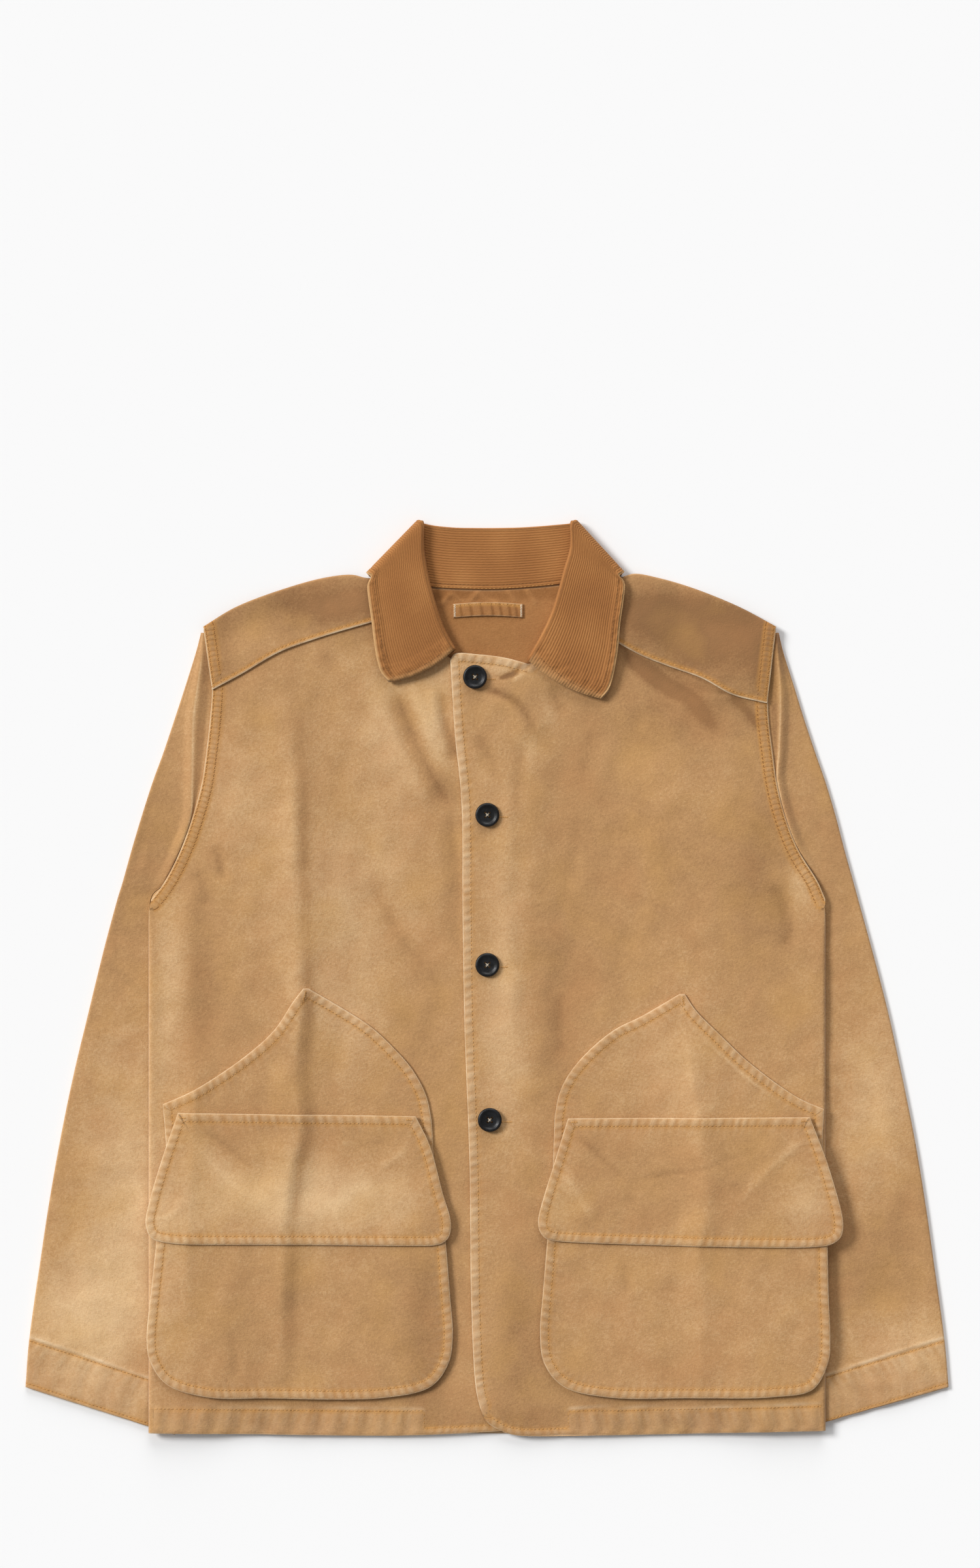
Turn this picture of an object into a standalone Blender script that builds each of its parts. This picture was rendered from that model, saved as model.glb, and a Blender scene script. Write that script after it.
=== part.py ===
"""A canvas hunting jacket with a corduroy collar, buttoned and laid flat, front up.

Tables are in millimetres, in the jacket's own frame: X runs across it, Y from the
hem up to the collar, Z up from the table it lies on. "right" and "left" are the
wearer's, so the right front lies at -X.
"""
import math

import bmesh
import bpy
import numpy as np
from mathutils import Vector

MM = 0.001

# driving sizes
CLOTH = 1.3            # canvas wall
CORD = 1.4             # corduroy wall
UNDER = 1.0            # under collar wall
SEAM = 0.35            # clearance where pieces are sewn or lie on each other
LAP_AIR = 0.45         # more air where a front or a pocket lies on a front
PATCH_AIR = 0.2        # more air between the layers of a pocket
BODY_SIDE = 284.6      # half width of the body, armhole to hem
SLEEVE_STACK = 4.3     # how far the tucked sleeves lift the back
COLLAR_STACK = 3.0     # how far the turned-down collar lifts the yoke
SLEEVE_RAMP = 62.0     # width of the soft ramp beside a tucked sleeve
FRONT_GAP = 2.0        # air between back and fronts
SEAM_GAP = 0.7         # the same at armhole and shoulder
YOKE_LIFT = 0.8        # clearance of the yoke over the tops of the fronts
FOLD_RADIUS = 1.1      # smallest bend of the canvas
BUTTON_WIDTH = 20.3
BUTTON_HEIGHT = 3.6
BUTTON_LIFT = 0.4
YOKE_BACK_SEAM = 210.0
YOKE_LAP = 8.0         # how far the fronts run up under the yoke
ARMPIT = 66.0          # y where armhole and side meet
SIDE_TOP = 56.0        # y where the side seam starts to roll
NECK_CENTRE = 8.5      # x of the collar's middle
UNDER_FRONT_EDGE = 26.0

# columns: y, armhole right, armhole left, sleeve edge right, sleeve edge left,
# pleat right, pleat left
ARM_ROWS = (
    (291.0, -237.4, 242.3, -240.6, 245.4, -238.9, 243.8),
    (274.0, -234.2, 238.7, -245.0, 249.4, -240.0, 244.6),
    (244.0, -231.4, 236.0, -254.4, 258.8, -244.0, 246.9),
    (219.0, -233.1, 237.0, -262.6, 266.5, -247.2, 247.0),
    (190.0, -236.4, 240.4, -272.3, 276.1, -248.0, 245.8),
    (165.0, -240.0, 243.9, -281.4, 284.8, -248.3, 244.6),
    (137.0, -247.5, 250.7, -290.4, 293.2, -249.5, 251.6),
    (109.0, -257.5, 261.5, -298.8, 300.5, -259.0, 262.5),
    (81.0, -271.5, 278.5, -306.6, 308.3, -273.0, 279.5),
    (66.0, -282.8, 285.0, -311.2, 312.4, -284.3, 286.0),
)
# columns: y of the sleeve's outer fold, x right, x left
FOREARM_ROWS = (
    (66.0, -311.2, 312.4), (26.0, -322.0, 323.4), (-28.0, -335.2, 337.4),
    (-84.0, -348.6, 349.6), (-139.0, -359.8, 360.6), (-194.0, -369.4, 369.6),
    (-249.0, -377.6, 377.4), (-304.0, -385.4, 385.0), (-345.0, -388.6, 388.6),
)
# corner of each cuff, under the hem
CUFF_INNER = {"right": (-268.0, -384.8), "left": (272.0, -380.6)}
INNER_FOLD = (165.0, 264.0)      # hidden fold of the sleeve: x at the armpit, x at the cuff
SLEEVE_LENGTH = 411.0            # armpit to cuff

RIGHT_YOKE_SEAM = ((-231.4, 242.9), (-205.5, 256.9), (-174.0, 275.1), (-138.6, 287.8),
                   (-97.6, 299.8), (-78.0, 306.0))
LEFT_YOKE_SEAM = ((235.8, 231.6), (206.4, 239.0), (180.8, 252.7), (151.4, 263.4),
                  (131.7, 271.3), (111.1, 282.1), (93.0, 293.0))
RIGHT_SHOULDER = ((-238.9, 295.6), (-211.5, 312.1), (-168.0, 328.6), (-137.2, 336.9),
                  (-114.0, 339.4), (-101.5, 336.6), (-82.5, 336.0))
LEFT_SHOULDER = ((243.4, 295.6), (212.6, 312.1), (172.4, 328.6), (143.8, 336.9),
                 (124.0, 340.2), (112.0, 337.0), (99.5, 336.5))
RIGHT_NECK = ((-78.0, 306.0), (-70.0, 297.0), (-57.0, 285.0), (-41.0, 276.0), (-29.0, 269.0))
LEFT_NECK = ((93.0, 293.0), (84.0, 288.0), (70.0, 280.0), (52.0, 272.0), (36.0, 264.5))
BACK_NECK = ((-82.5, 336.0), (-66.0, 332.0), (-44.9, 328.1), (8.0, 326.6), (60.3, 330.4),
             (82.0, 333.6), (99.5, 336.5))
OVER_EDGE = ((-30.9, 268.0), (-27.2, 209.3), (-21.4, 147.1), (-20.4, 56.0), (-19.0, -34.9),
             (-14.6, -158.7), (-13.1, -276.4), (-9.3, -345.7), (-5.6, -362.2),
             (0.8, -374.8), (14.6, -382.5))
OVER_TOP = ((-30.9, 268.0), (-27.2, 273.1), (-6.2, 272.6), (14.0, 270.1), (36.0, 264.5))
OVER_HEM = ((14.6, -382.5), (27.2, -385.3), (118.0, -385.0), (284.6, -381.0))
UNDER_HEM = ((UNDER_FRONT_EDGE, -381.0), (-29.4, -384.0), (-80.0, -385.6), (-284.6, -383.0))
BACK_HEM = ((-283.6, -382.0), (0.0, -384.0), (283.6, -380.0))

# columns: neck x, y, roll x, y, outer edge x, y; from the break up to the shoulder fold
RIGHT_LEAF = (
    (-31.5, 272.4, -26.4, 276.8, -79.0, 249.2),
    (-39.4, 278.2, -32.0, 286.0, -87.5, 258.0),
    (-55.6, 287.4, -38.5, 299.5, -93.0, 275.5),
    (-68.2, 299.0, -44.5, 318.0, -97.0, 299.5),
    (-75.6, 310.0, -49.5, 337.0, -99.6, 318.0),
    (-78.6, 325.0, -53.5, 361.0, -100.6, 330.0),
)
RIGHT_TURN = (-82.6, 347.0, -57.5, 386.4, -101.5, 341.3)
BACK_COLLAR = (
    (-64.0, 334.0, -43.0, 380.6, -84.0, 330.0),
    (-44.0, 329.6, -26.4, 379.1, -56.0, 319.0),
    (-18.0, 328.2, -9.0, 378.8, -24.0, 313.0),
    (8.0, 328.0, 8.0, 378.8, 8.0, 311.0),
    (36.0, 329.6, 27.0, 379.2, 41.0, 313.0),
    (60.3, 332.2, 43.4, 380.2, 73.0, 319.0),
    (80.0, 335.6, 60.0, 381.6, 98.0, 330.0),
)
LEFT_TURN = (99.6, 347.0, 74.5, 386.4, 115.4, 342.0)
LEFT_LEAF = (
    (95.6, 322.0, 70.5, 363.0, 115.9, 331.5),
    (92.4, 303.0, 65.5, 345.0, 114.6, 316.0),
    (83.0, 290.4, 60.0, 324.5, 112.0, 297.5),
    (69.0, 282.4, 54.0, 306.0, 109.6, 272.5),
    (51.0, 275.8, 45.0, 287.0, 104.0, 246.5),
    (40.0, 270.4, 34.2, 271.6, 96.0, 235.4),
)

# hand-warmer patches: the slanted opening and the rounded inner side meet in the apex
RIGHT_PATCH = {
    "opening": ((-272.7, -106.0), (-247.0, -94.4), (-204.1, -66.1), (-178.8, -43.4),
                (-163.6, -20.6), (-154.6, -8.5)),
    "rounded": ((-150.6, -8.5), (-123.3, -24.5), (-98.0, -40.9), (-77.8, -59.8),
                (-62.6, -77.5), (-51.3, -98.9), (-46.8, -119.2)),
    "outer": ((-272.7, -106.0), (-269.8, -147.0), (-273.0, -221.0), (-279.0, -263.0),
              (-281.0, -322.0)),
    "inner": ((-46.8, -119.2), (-44.0, -160.0), (-37.0, -225.2), (-33.0, -301.0),
              (-36.0, -324.0)),
    "bottom": ((-281.0, -322.0), (-256.0, -344.0), (-170.0, -349.0), (-62.0, -346.0),
               (-36.0, -324.0)),
}
LEFT_PATCH = {
    "opening": ((283.4, -110.0), (261.4, -100.2), (221.0, -71.2), (195.7, -47.2),
                (175.6, -27.0), (166.2, -13.1)),
    "rounded": ((162.2, -13.1), (130.1, -32.1), (107.4, -43.4), (87.2, -59.8),
                (69.5, -80.0), (60.7, -97.6), (56.9, -116.7)),
    "outer": ((283.4, -110.0), (282.0, -150.0), (283.0, -221.0), (283.0, -285.0),
              (281.0, -324.0)),
    "inner": ((56.9, -116.7), (55.6, -154.5), (53.0, -221.4), (49.0, -298.4),
              (53.0, -326.0)),
    "bottom": ((281.0, -324.0), (256.0, -347.0), (170.5, -349.4), (78.0, -346.0),
               (53.0, -326.0)),
}
RIGHT_CARGO = {
    "top": ((-276.0, -205.0), (-36.0, -207.0)),
    "outer": ((-276.0, -205.0), (-282.4, -263.1), (-286.1, -303.5), (-283.6, -321.2),
              (-270.0, -341.0)),
    "inner": ((-36.0, -207.0), (-31.1, -268.1), (-28.9, -301.0), (-32.3, -323.7),
              (-47.0, -343.5)),
    "bottom": ((-270.0, -341.0), (-236.9, -352.0), (-186.4, -353.5), (-85.5, -353.0),
               (-47.0, -343.5)),
}
LEFT_CARGO = {
    "top": ((286.0, -205.0), (52.0, -205.0)),
    "outer": ((286.0, -205.0), (287.0, -263.0), (288.5, -303.0), (287.0, -322.0),
              (274.0, -345.5)),
    "inner": ((52.0, -205.0), (47.2, -263.1), (44.7, -298.4), (48.0, -323.7),
              (64.0, -343.5)),
    "bottom": ((274.0, -345.5), (240.0, -352.0), (170.5, -353.4), (102.3, -352.8),
               (64.0, -343.5)),
}
RIGHT_FLAP = {
    "top": ((-259.6, -113.0), (-60.1, -116.1)),
    "outer": ((-259.6, -113.0), (-272.3, -149.3), (-283.6, -187.3), (-286.9, -206.3),
              (-282.4, -217.5)),
    "inner": ((-60.1, -116.1), (-45.0, -152.0), (-36.1, -187.3), (-31.8, -207.6),
              (-36.1, -221.4)),
    "bottom": ((-282.4, -217.5), (-270.0, -221.0), (-166.2, -224.0), (-48.0, -225.0),
               (-36.1, -221.4)),
}
LEFT_FLAP = {
    "top": ((271.4, -116.7), (68.2, -117.9)),
    "outer": ((271.4, -116.7), (284.1, -149.5), (294.3, -182.3), (299.0, -206.0),
              (297.0, -217.6)),
    "inner": ((68.2, -117.9), (56.9, -154.5), (44.3, -197.5), (43.7, -210.0),
              (50.0, -219.0)),
    "bottom": ((297.0, -217.6), (280.4, -225.0), (175.6, -225.2), (62.0, -221.6),
               (50.0, -219.0)),
}
BUTTON_CENTRES = ((-10.1, 253.7), (0.3, 137.6), (0.3, 11.3), (2.3, -119.2))

# the largest folds of the fronts; columns: start x, y, end x, y, half width, height
FOLDS = (
    (-167.0, 246.0, -156.0, 60.0, 24.0, 1.3),
    (-156.0, 60.0, -174.0, -319.0, 24.0, 1.1),
    (-241.0, 60.0, -241.0, -70.0, 22.0, -1.2),
    (-64.0, 250.0, -36.0, 150.0, 22.0, 1.4),
    (114.0, 274.0, 196.0, 200.0, 20.0, -1.2),
    (206.0, 236.0, 232.0, 206.0, 16.0, -1.0),
    (10.0, 244.0, 40.0, 206.0, 18.0, 1.4),
    (183.0, 40.0, 183.0, -350.0, 24.0, 1.1),
    (100.0, 60.0, 96.0, -60.0, 28.0, 0.9),
)

# colour, roughness
MATERIALS = {
    "canvas": ((0.56, 0.34, 0.15, 1.0), 0.9),
    "corduroy": ((0.45, 0.20, 0.055, 1.0), 0.85),
    "canvas_inside": ((0.45, 0.25, 0.10, 1.0), 0.9),
    "horn": ((0.014, 0.014, 0.016, 1.0), 0.35),
}


# ---------------------------------------------------------------- curves and fields
def step(value, start, end):
    """0 at start, 1 at end, smooth between."""
    share = min(1.0, max(0.0, (value - start) / (end - start)))
    return share * share * (3.0 - 2.0 * share)


def smooth_run(points, per=8):
    """A smooth path through points; the tangents follow their spacing, so none loops."""
    if len(points) == 2:
        return [points[0].lerp(points[1], k / per) for k in range(per + 1)]
    padded = [2 * points[0] - points[1]] + points + [2 * points[-1] - points[-2]]
    gaps = [math.sqrt((b - a).length) for a, b in zip(padded, padded[1:])]
    path = [points[0]]
    for k in range(1, len(points)):
        a, b, c, d = padded[k - 1:k + 3]
        before, here, after = gaps[k - 1:k + 2]
        leave = ((b - a) * here ** 2 / before + (c - b) * before) / (before + here)
        arrive = ((c - b) * after + (d - c) * here ** 2 / after) / (here + after)
        for n in range(1, per + 1):
            t = n / per
            path.append(b * (2 * t ** 3 - 3 * t ** 2 + 1) + leave * (t ** 3 - 2 * t ** 2 + t)
                        + c * (3 * t ** 2 - 2 * t ** 3) + arrive * (t ** 3 - t ** 2))
    return path


def trace(*runs):
    """One dense path through runs of points: each run smooth, corners between runs."""
    path = []
    for run in runs:
        smooth = smooth_run([Vector(point) for point in run])
        path += smooth if not path else smooth[1:]
    return path


def pick(path, shares):
    """Points of a path at shares of its length."""
    steps = [0.0]
    for a, b in zip(path, path[1:]):
        steps.append(steps[-1] + (b - a).length)
    where = np.asarray(shares) * steps[-1]
    xs = np.interp(where, steps, [p.x for p in path])
    ys = np.interp(where, steps, [p.y for p in path])
    return [Vector(pair) for pair in zip(xs, ys)]


def column(rows, index, y):
    """Reads a table's column at a height y, with y falling down the rows."""
    ys = [row[0] for row in reversed(rows)]
    return float(np.interp(y, ys, [row[index] for row in reversed(rows)]))


def inner_fold(y):
    """Distance from the middle to the hidden inner fold of a tucked sleeve."""
    armpit, cuff = INNER_FOLD
    if y > ARMPIT:
        return armpit + 63.0 * min(1.0, (y - ARMPIT) / 225.0) ** 1.5
    return armpit + (cuff - armpit) * min(1.0, (ARMPIT - y) / 452.0)


def body_edge(x, y):
    """Distance from a point of the body to its armhole or side."""
    if y < ARMPIT:
        return BODY_SIDE - abs(x)
    return abs(column(ARM_ROWS, 1 if x < 0 else 2, y)) - abs(x)


def back_low(x, y):
    """Underside of the back: on the table, and lifted by sleeves and collar."""
    fold = inner_fold(y)
    sleeve = SLEEVE_STACK * step(abs(x), fold - 14.0 - SLEEVE_RAMP, fold - 14.0)
    collar = COLLAR_STACK * step(y, 262.0, 306.0) * step(-abs(x - NECK_CENTRE), -165.0, -108.0)
    return max(sleeve, collar)


def fold_height(x, y):
    """Sum of the large folds at a point."""
    total = 0.0
    for x0, y0, x1, y1, half, height in FOLDS:
        run = Vector((x1 - x0, y1 - y0))
        at = Vector((x - x0, y - y0))
        share = at.dot(run) / run.length_squared
        away = (at - run * min(1.0, max(0.0, share))).length
        ends = step(share, -0.15, 0.2) * step(-share, -1.15, -0.8)
        total += height * ends * step(-away, -half, 0.0)
    return total


def front_low(x, y):
    """Underside of the fronts."""
    shoulder = 341.0 - max(0.0, abs(x) - 101.0) * 0.33
    inside = step(body_edge(x, y), 4.0, 45.0) * step(shoulder - y, 4.0, 60.0)
    side = step(ARMPIT - y, -10.0, 30.0)
    gap = SEAM_GAP + (FRONT_GAP - SEAM_GAP) * max(inside, side)
    return back_low(x, y) + CLOTH + gap + fold_height(x, y) * inside


def over_low(x, y):
    """Underside of the left front, which laps over the right one."""
    return front_low(x, y) + (CLOTH + SEAM + LAP_AIR) * step(-x, -66.0, -34.0)


def sheet_grid(bottom, top, start, end, across, along):
    """Transfinite patch between four paths, at the given shares of them."""
    low, high = pick(bottom, across), pick(top, across)
    left, right = pick(start, along), pick(end, along)
    rows = []
    for v, l, r in zip(along, left, right):
        row = []
        for u, b, t in zip(across, low, high):
            corners = ((1 - v) * ((1 - u) * low[0] + u * low[-1])
                       + v * ((1 - u) * high[0] + u * high[-1]))
            row.append((1 - v) * b + v * t + (1 - u) * l + u * r - corners)
        rows.append(row)
    return rows


def shares(count):
    return [k / count for k in range(count + 1)]


# ---------------------------------------------------------------- mesh helpers
def clear_scene():
    for item in list(bpy.data.objects):
        bpy.data.objects.remove(item)


def material(name):
    found = bpy.data.materials.get(name)
    if found:
        return found
    colour, roughness = MATERIALS[name]
    made = bpy.data.materials.new(name)
    made.use_nodes = True
    shader = made.node_tree.nodes["Principled BSDF"]
    shader.inputs["Base Color"].default_value = colour
    shader.inputs["Roughness"].default_value = roughness
    return made


def finish(mesh_data, name, slot):
    mesh = bpy.data.meshes.new(name)
    mesh_data.to_mesh(mesh)
    mesh_data.free()
    mesh.shade_smooth()
    mesh.set_sharp_from_angle(angle=math.radians(50))
    mesh.materials.append(material(slot))
    piece = bpy.data.objects.new(name, mesh)
    bpy.context.scene.collection.objects.link(piece)
    return piece


def cloth(name, rows, wall, slot):
    """A wall of cloth whose middle runs through rows of points, in millimetres."""
    across, along = len(rows[0]), len(rows)
    data = bmesh.new()
    bmesh.ops.create_grid(data, x_segments=across - 1, y_segments=along - 1, size=1.0)
    data.verts.ensure_lookup_table()
    flat = [point for row in rows for point in row]
    for vertex, point in zip(data.verts, flat):
        vertex.co = Vector(point) * MM
    piece = finish(data, name, slot)
    thick = piece.modifiers.new("wall", "SOLIDIFY")
    thick.thickness = wall * MM
    thick.offset = 0.0
    thick.use_even_offset = True
    thick.use_quality_normals = True
    return piece


def lay(rows, low, lift=CLOTH / 2):
    """Lifts plan points over a field of undersides, by default to the wall's middle."""
    return [[(p.x, p.y, low(p.x, p.y) + lift) for p in row] for row in rows]


# ---------------------------------------------------------------- body
def curl(rows, sign):
    """Rolls the body's side edge down to the side seam, below the armpit."""
    for row in rows:
        for k, (x, y, z) in enumerate(row):
            gap = front_low(x, y) - back_low(x, y) - CLOTH
            radius = gap + CLOTH / 2 - SEAM
            reach = max(0.0, BODY_SIDE - sign * x)
            if y < 60.0 and reach < radius:
                drop = radius - math.sqrt(radius ** 2 - (radius - reach) ** 2)
                row[k] = (x, y, z - drop * step(60.0 - y, 0.0, 40.0))
    return rows


def armhole_points(index, top_y, inset=0.0):
    sign = -1 if index == 1 else 1
    rows = [(row[index] - sign * inset, row[0]) for row in ARM_ROWS if row[0] < top_y - 4.0]
    top = (column(ARM_ROWS, index, top_y) - sign * inset, top_y)
    return [top] + rows


SIDE_SHARES = [0.0, 0.0022, 0.0055, 0.012]


def make_fronts():
    # right front, under
    armhole = armhole_points(1, 250.0)
    side = trace(armhole, (armhole[-1], (-BODY_SIDE, SIDE_TOP)),
                 ((-BODY_SIDE, SIDE_TOP), (-BODY_SIDE, -383.0)))
    top = trace([(x, y + YOKE_LAP) for x, y in RIGHT_YOKE_SEAM[:-1]] + [(-78.6, 311.0)],
                ((-78.6, 311.0),) + RIGHT_NECK[1:],
                (RIGHT_NECK[-1], (UNDER_FRONT_EDGE, 262.0)))
    edge = trace(((UNDER_FRONT_EDGE, 262.0), (UNDER_FRONT_EDGE, -381.0)))
    hem = list(reversed(trace(UNDER_HEM)))
    across = SIDE_SHARES + [0.06 + 0.94 * k / 13 for k in range(14)]
    rows = sheet_grid(top, hem, side, edge, across, shares(22))
    cloth("front_right", curl(lay(rows, front_low), -1), CLOTH, "canvas")
    # left front, over
    armhole = armhole_points(2, 239.0)
    side = trace(armhole, (armhole[-1], (BODY_SIDE, SIDE_TOP)),
                 ((BODY_SIDE, SIDE_TOP), (BODY_SIDE, -381.0)))
    top = trace([(x, y + YOKE_LAP) for x, y in LEFT_YOKE_SEAM[:-1]] + [(94.0, 299.0)],
                ((94.0, 299.0),) + LEFT_NECK[1:], tuple(reversed(OVER_TOP)))
    rows = sheet_grid(top, list(reversed(trace(OVER_HEM))), side, trace(OVER_EDGE),
                      across, shares(22))
    cloth("front_left", curl(lay(rows, over_low), 1), CLOTH, "canvas")


def make_back():
    inset = 8.0
    right = trace([(-226.0, YOKE_BACK_SEAM - SEAM)]
                  + [(x, y) for x, y in armhole_points(1, 195.0, inset) if y > ARMPIT + 4.0],
                  ((-265.0, 79.0), (-283.4, 60.0)), ((-283.4, 60.0), (-283.6, -382.0)))
    left = trace([(229.6, YOKE_BACK_SEAM - SEAM)]
                 + [(x, y) for x, y in armhole_points(2, 195.0, inset) if y > ARMPIT + 4.0],
                 ((271.5, 79.0), (283.4, 60.0)), ((283.4, 60.0), (283.6, -380.0)))
    top = trace(((-226.0, YOKE_BACK_SEAM - SEAM), (229.6, YOKE_BACK_SEAM - SEAM)))
    rows = sheet_grid(top, trace(BACK_HEM), right, left, shares(24), shares(16))
    cloth("back", lay(rows, back_low), CLOTH, "canvas")


# ---------------------------------------------------------------- yoke
def shoulder_fold(path, rows):
    """Rows of points round the shoulder's fold, from the front layer to the back one."""
    turned = []
    for angle in (0, 45, 90, 135, 180):
        out, up = math.sin(math.radians(angle)), math.cos(math.radians(angle))
        row = []
        for k, point in enumerate(path):
            ahead, behind = path[min(k + 1, len(path) - 1)], path[max(k - 1, 0)]
            normal = Vector((behind.y - ahead.y, ahead.x - behind.x)).normalized()
            normal = normal if normal.y > 0 else -normal
            base = point - normal * FOLD_RADIUS
            low = back_low(base.x, base.y) + CLOTH / 2
            spot = base + normal * FOLD_RADIUS * out
            row.append((spot.x, spot.y, low + FOLD_RADIUS * (1 + up)))
        turned.append(row)
    return turned if rows == "down" else list(reversed(turned))


def yoke_front(seam, shoulder, count):
    """Rows of the yoke's front part, from its seam to the shoulder fold."""
    low = pick(trace(seam), shares(count))
    high = pick(trace(shoulder), shares(count))
    rows = []
    for share in (0.0, 0.12, 0.28, 0.55, 0.8):
        lap = (CLOTH + YOKE_LIFT) * step(-share, -0.75, -0.3)
        close = step(share, 0.5, 1.0)
        row = []
        for a, b in zip(low, high):
            spot = a.lerp(b - Vector((0, FOLD_RADIUS)), share)
            fold = back_low(spot.x, spot.y) + 2 * FOLD_RADIUS
            level = front_low(spot.x, spot.y) * (1 - close) + fold * close
            row.append((spot.x, spot.y, level + lap + CLOTH / 2))
        rows.append(row)
    return rows, high


def make_yoke():
    count = 8
    right, right_fold = yoke_front(RIGHT_YOKE_SEAM, RIGHT_SHOULDER, count)
    left, left_fold = yoke_front(LEFT_YOKE_SEAM, LEFT_SHOULDER, count)
    neck = pick(trace(BACK_NECK), shares(20))
    outer = trace(((-237.6, 292.4), (-230.4, 283.0), (-226.0, 270.0), (-223.4, 244.0),
                   (-226.0, YOKE_BACK_SEAM)),
                  ((-226.0, YOKE_BACK_SEAM), (229.6, YOKE_BACK_SEAM)),
                  ((229.6, YOKE_BACK_SEAM), (227.6, 244.0), (230.2, 270.0), (235.0, 283.0),
                   (242.2, 292.4)))
    out = pick(outer, shares(20))
    back = []
    for k in range(1, 20):
        row = []
        for share in reversed(shares(count)):
            spot = neck[k].lerp(out[k], share)
            row.append((spot.x, spot.y, back_low(spot.x, spot.y) + CLOTH / 2))
        back.append(row)
    rows = (right + shoulder_fold(right_fold, "down") + back
            + shoulder_fold(left_fold, "up") + list(reversed(left)))
    cloth("yoke", rows, CLOTH, "canvas")


# ---------------------------------------------------------------- sleeves
def arc(centre, radius, low, high, steps):
    """Half turn in a section: pairs of (distance, height), bulging to smaller distance."""
    middle = (low + high) / 2
    return [(centre - radius * math.sin(math.pi * k / steps),
             middle + (high - low) / 2 * math.cos(math.pi * k / steps)) for k in range(steps + 1)]


def sleeve_section(reach, seam, pleat, lap_front, lap_back, front_z, pleat_lift):
    """One ring of a sleeve: (distance in from the outer fold, height), seam to seam."""
    floor = CLOTH / 2
    top = floor + 2 * FOLD_RADIUS
    radius = min(FOLD_RADIUS, 0.35 * seam)
    foot = max(radius + 0.2, pleat - min(1.6, 0.4 * pleat))
    foot_z = top + (front_z - top) * 0.25
    ring = [(seam + lap_front, front_z), (max(seam - 0.5, pleat + 0.4), front_z)]
    ring += [(pleat, front_z + pleat_lift * 0.3), (foot, max(top, foot_z - pleat_lift * 0.2))]
    ring += [(radius + (foot - radius) * share, top + (foot_z - top) * share ** 2)
             for share in (0.66, 0.33)]
    ring += arc(radius, radius, floor, top, 3)
    span = reach - FOLD_RADIUS - radius
    ring += [(radius + span * share, floor) for share in (0.33, 0.67)]
    inner = arc(reach - FOLD_RADIUS, FOLD_RADIUS, floor, top, 3)
    ring += [(2 * (reach - FOLD_RADIUS) - w, z) for w, z in reversed(inner)]
    back_end = seam + lap_back
    ring += [(reach - FOLD_RADIUS + (back_end - reach + FOLD_RADIUS) * share, top)
             for share in (0.5, 1.0)]
    return ring


def make_sleeve(side):
    sign = -1 if side == "right" else 1
    seam_column = 1 if sign < 0 else 2
    stations = []
    for row in ARM_ROWS[:-1]:
        y = row[0]
        seam_x, outer_x, pleat_x = row[seam_column], row[seam_column + 2], row[seam_column + 4]
        stations.append((Vector((outer_x, y)), Vector((seam_x, y)),
                         Vector((sign * inner_fold(y), y)), abs(outer_x - pleat_x), y))
    edge = trace([(row[seam_column], row[0]) for row in FOREARM_ROWS])
    armpit, cuff = Vector((sign * 283.4, ARMPIT)), Vector(CUFF_INNER[side])
    length = 12
    for k, outer in enumerate(pick(edge, shares(length))):
        share = k / length
        seam = armpit.lerp(cuff, share)
        inner = Vector((sign * inner_fold(seam.y), seam.y))
        gap = (outer - seam).length
        stations.append((outer, seam, inner, gap * 0.9 - 1.0,
                         ARMPIT - SLEEVE_LENGTH * share))
    rows = []
    for outer, seam, inner, pleat, y in stations:
        inward = (inner - outer).normalized()
        reach, seam_at = (inner - outer).length, (seam - outer).length
        open_share = step(y, 68.0, 128.0)
        lapped = open_share * step(-y, -289.0, -258.0)
        lap_front = 5.0 * lapped - SEAM * (1 - lapped)
        lap_back = min(12.0, reach - seam_at - 2.5) * open_share + SEAM / 2 * (1 - open_share)
        low = CLOTH / 2 + 2 * FOLD_RADIUS
        high = front_low(seam.x, seam.y) - SEAM - CLOTH / 2
        front_z = low + (high - low) * open_share
        lift = 1.4 * lapped
        ring = sleeve_section(reach, seam_at, min(pleat, seam_at - 1.0), lap_front, lap_back,
                              front_z, lift)
        rows.append([(outer.x + inward.x * w, outer.y + inward.y * w, z) for w, z in ring])
    cloth("sleeve_" + side, rows, CLOTH, "canvas")


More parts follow.
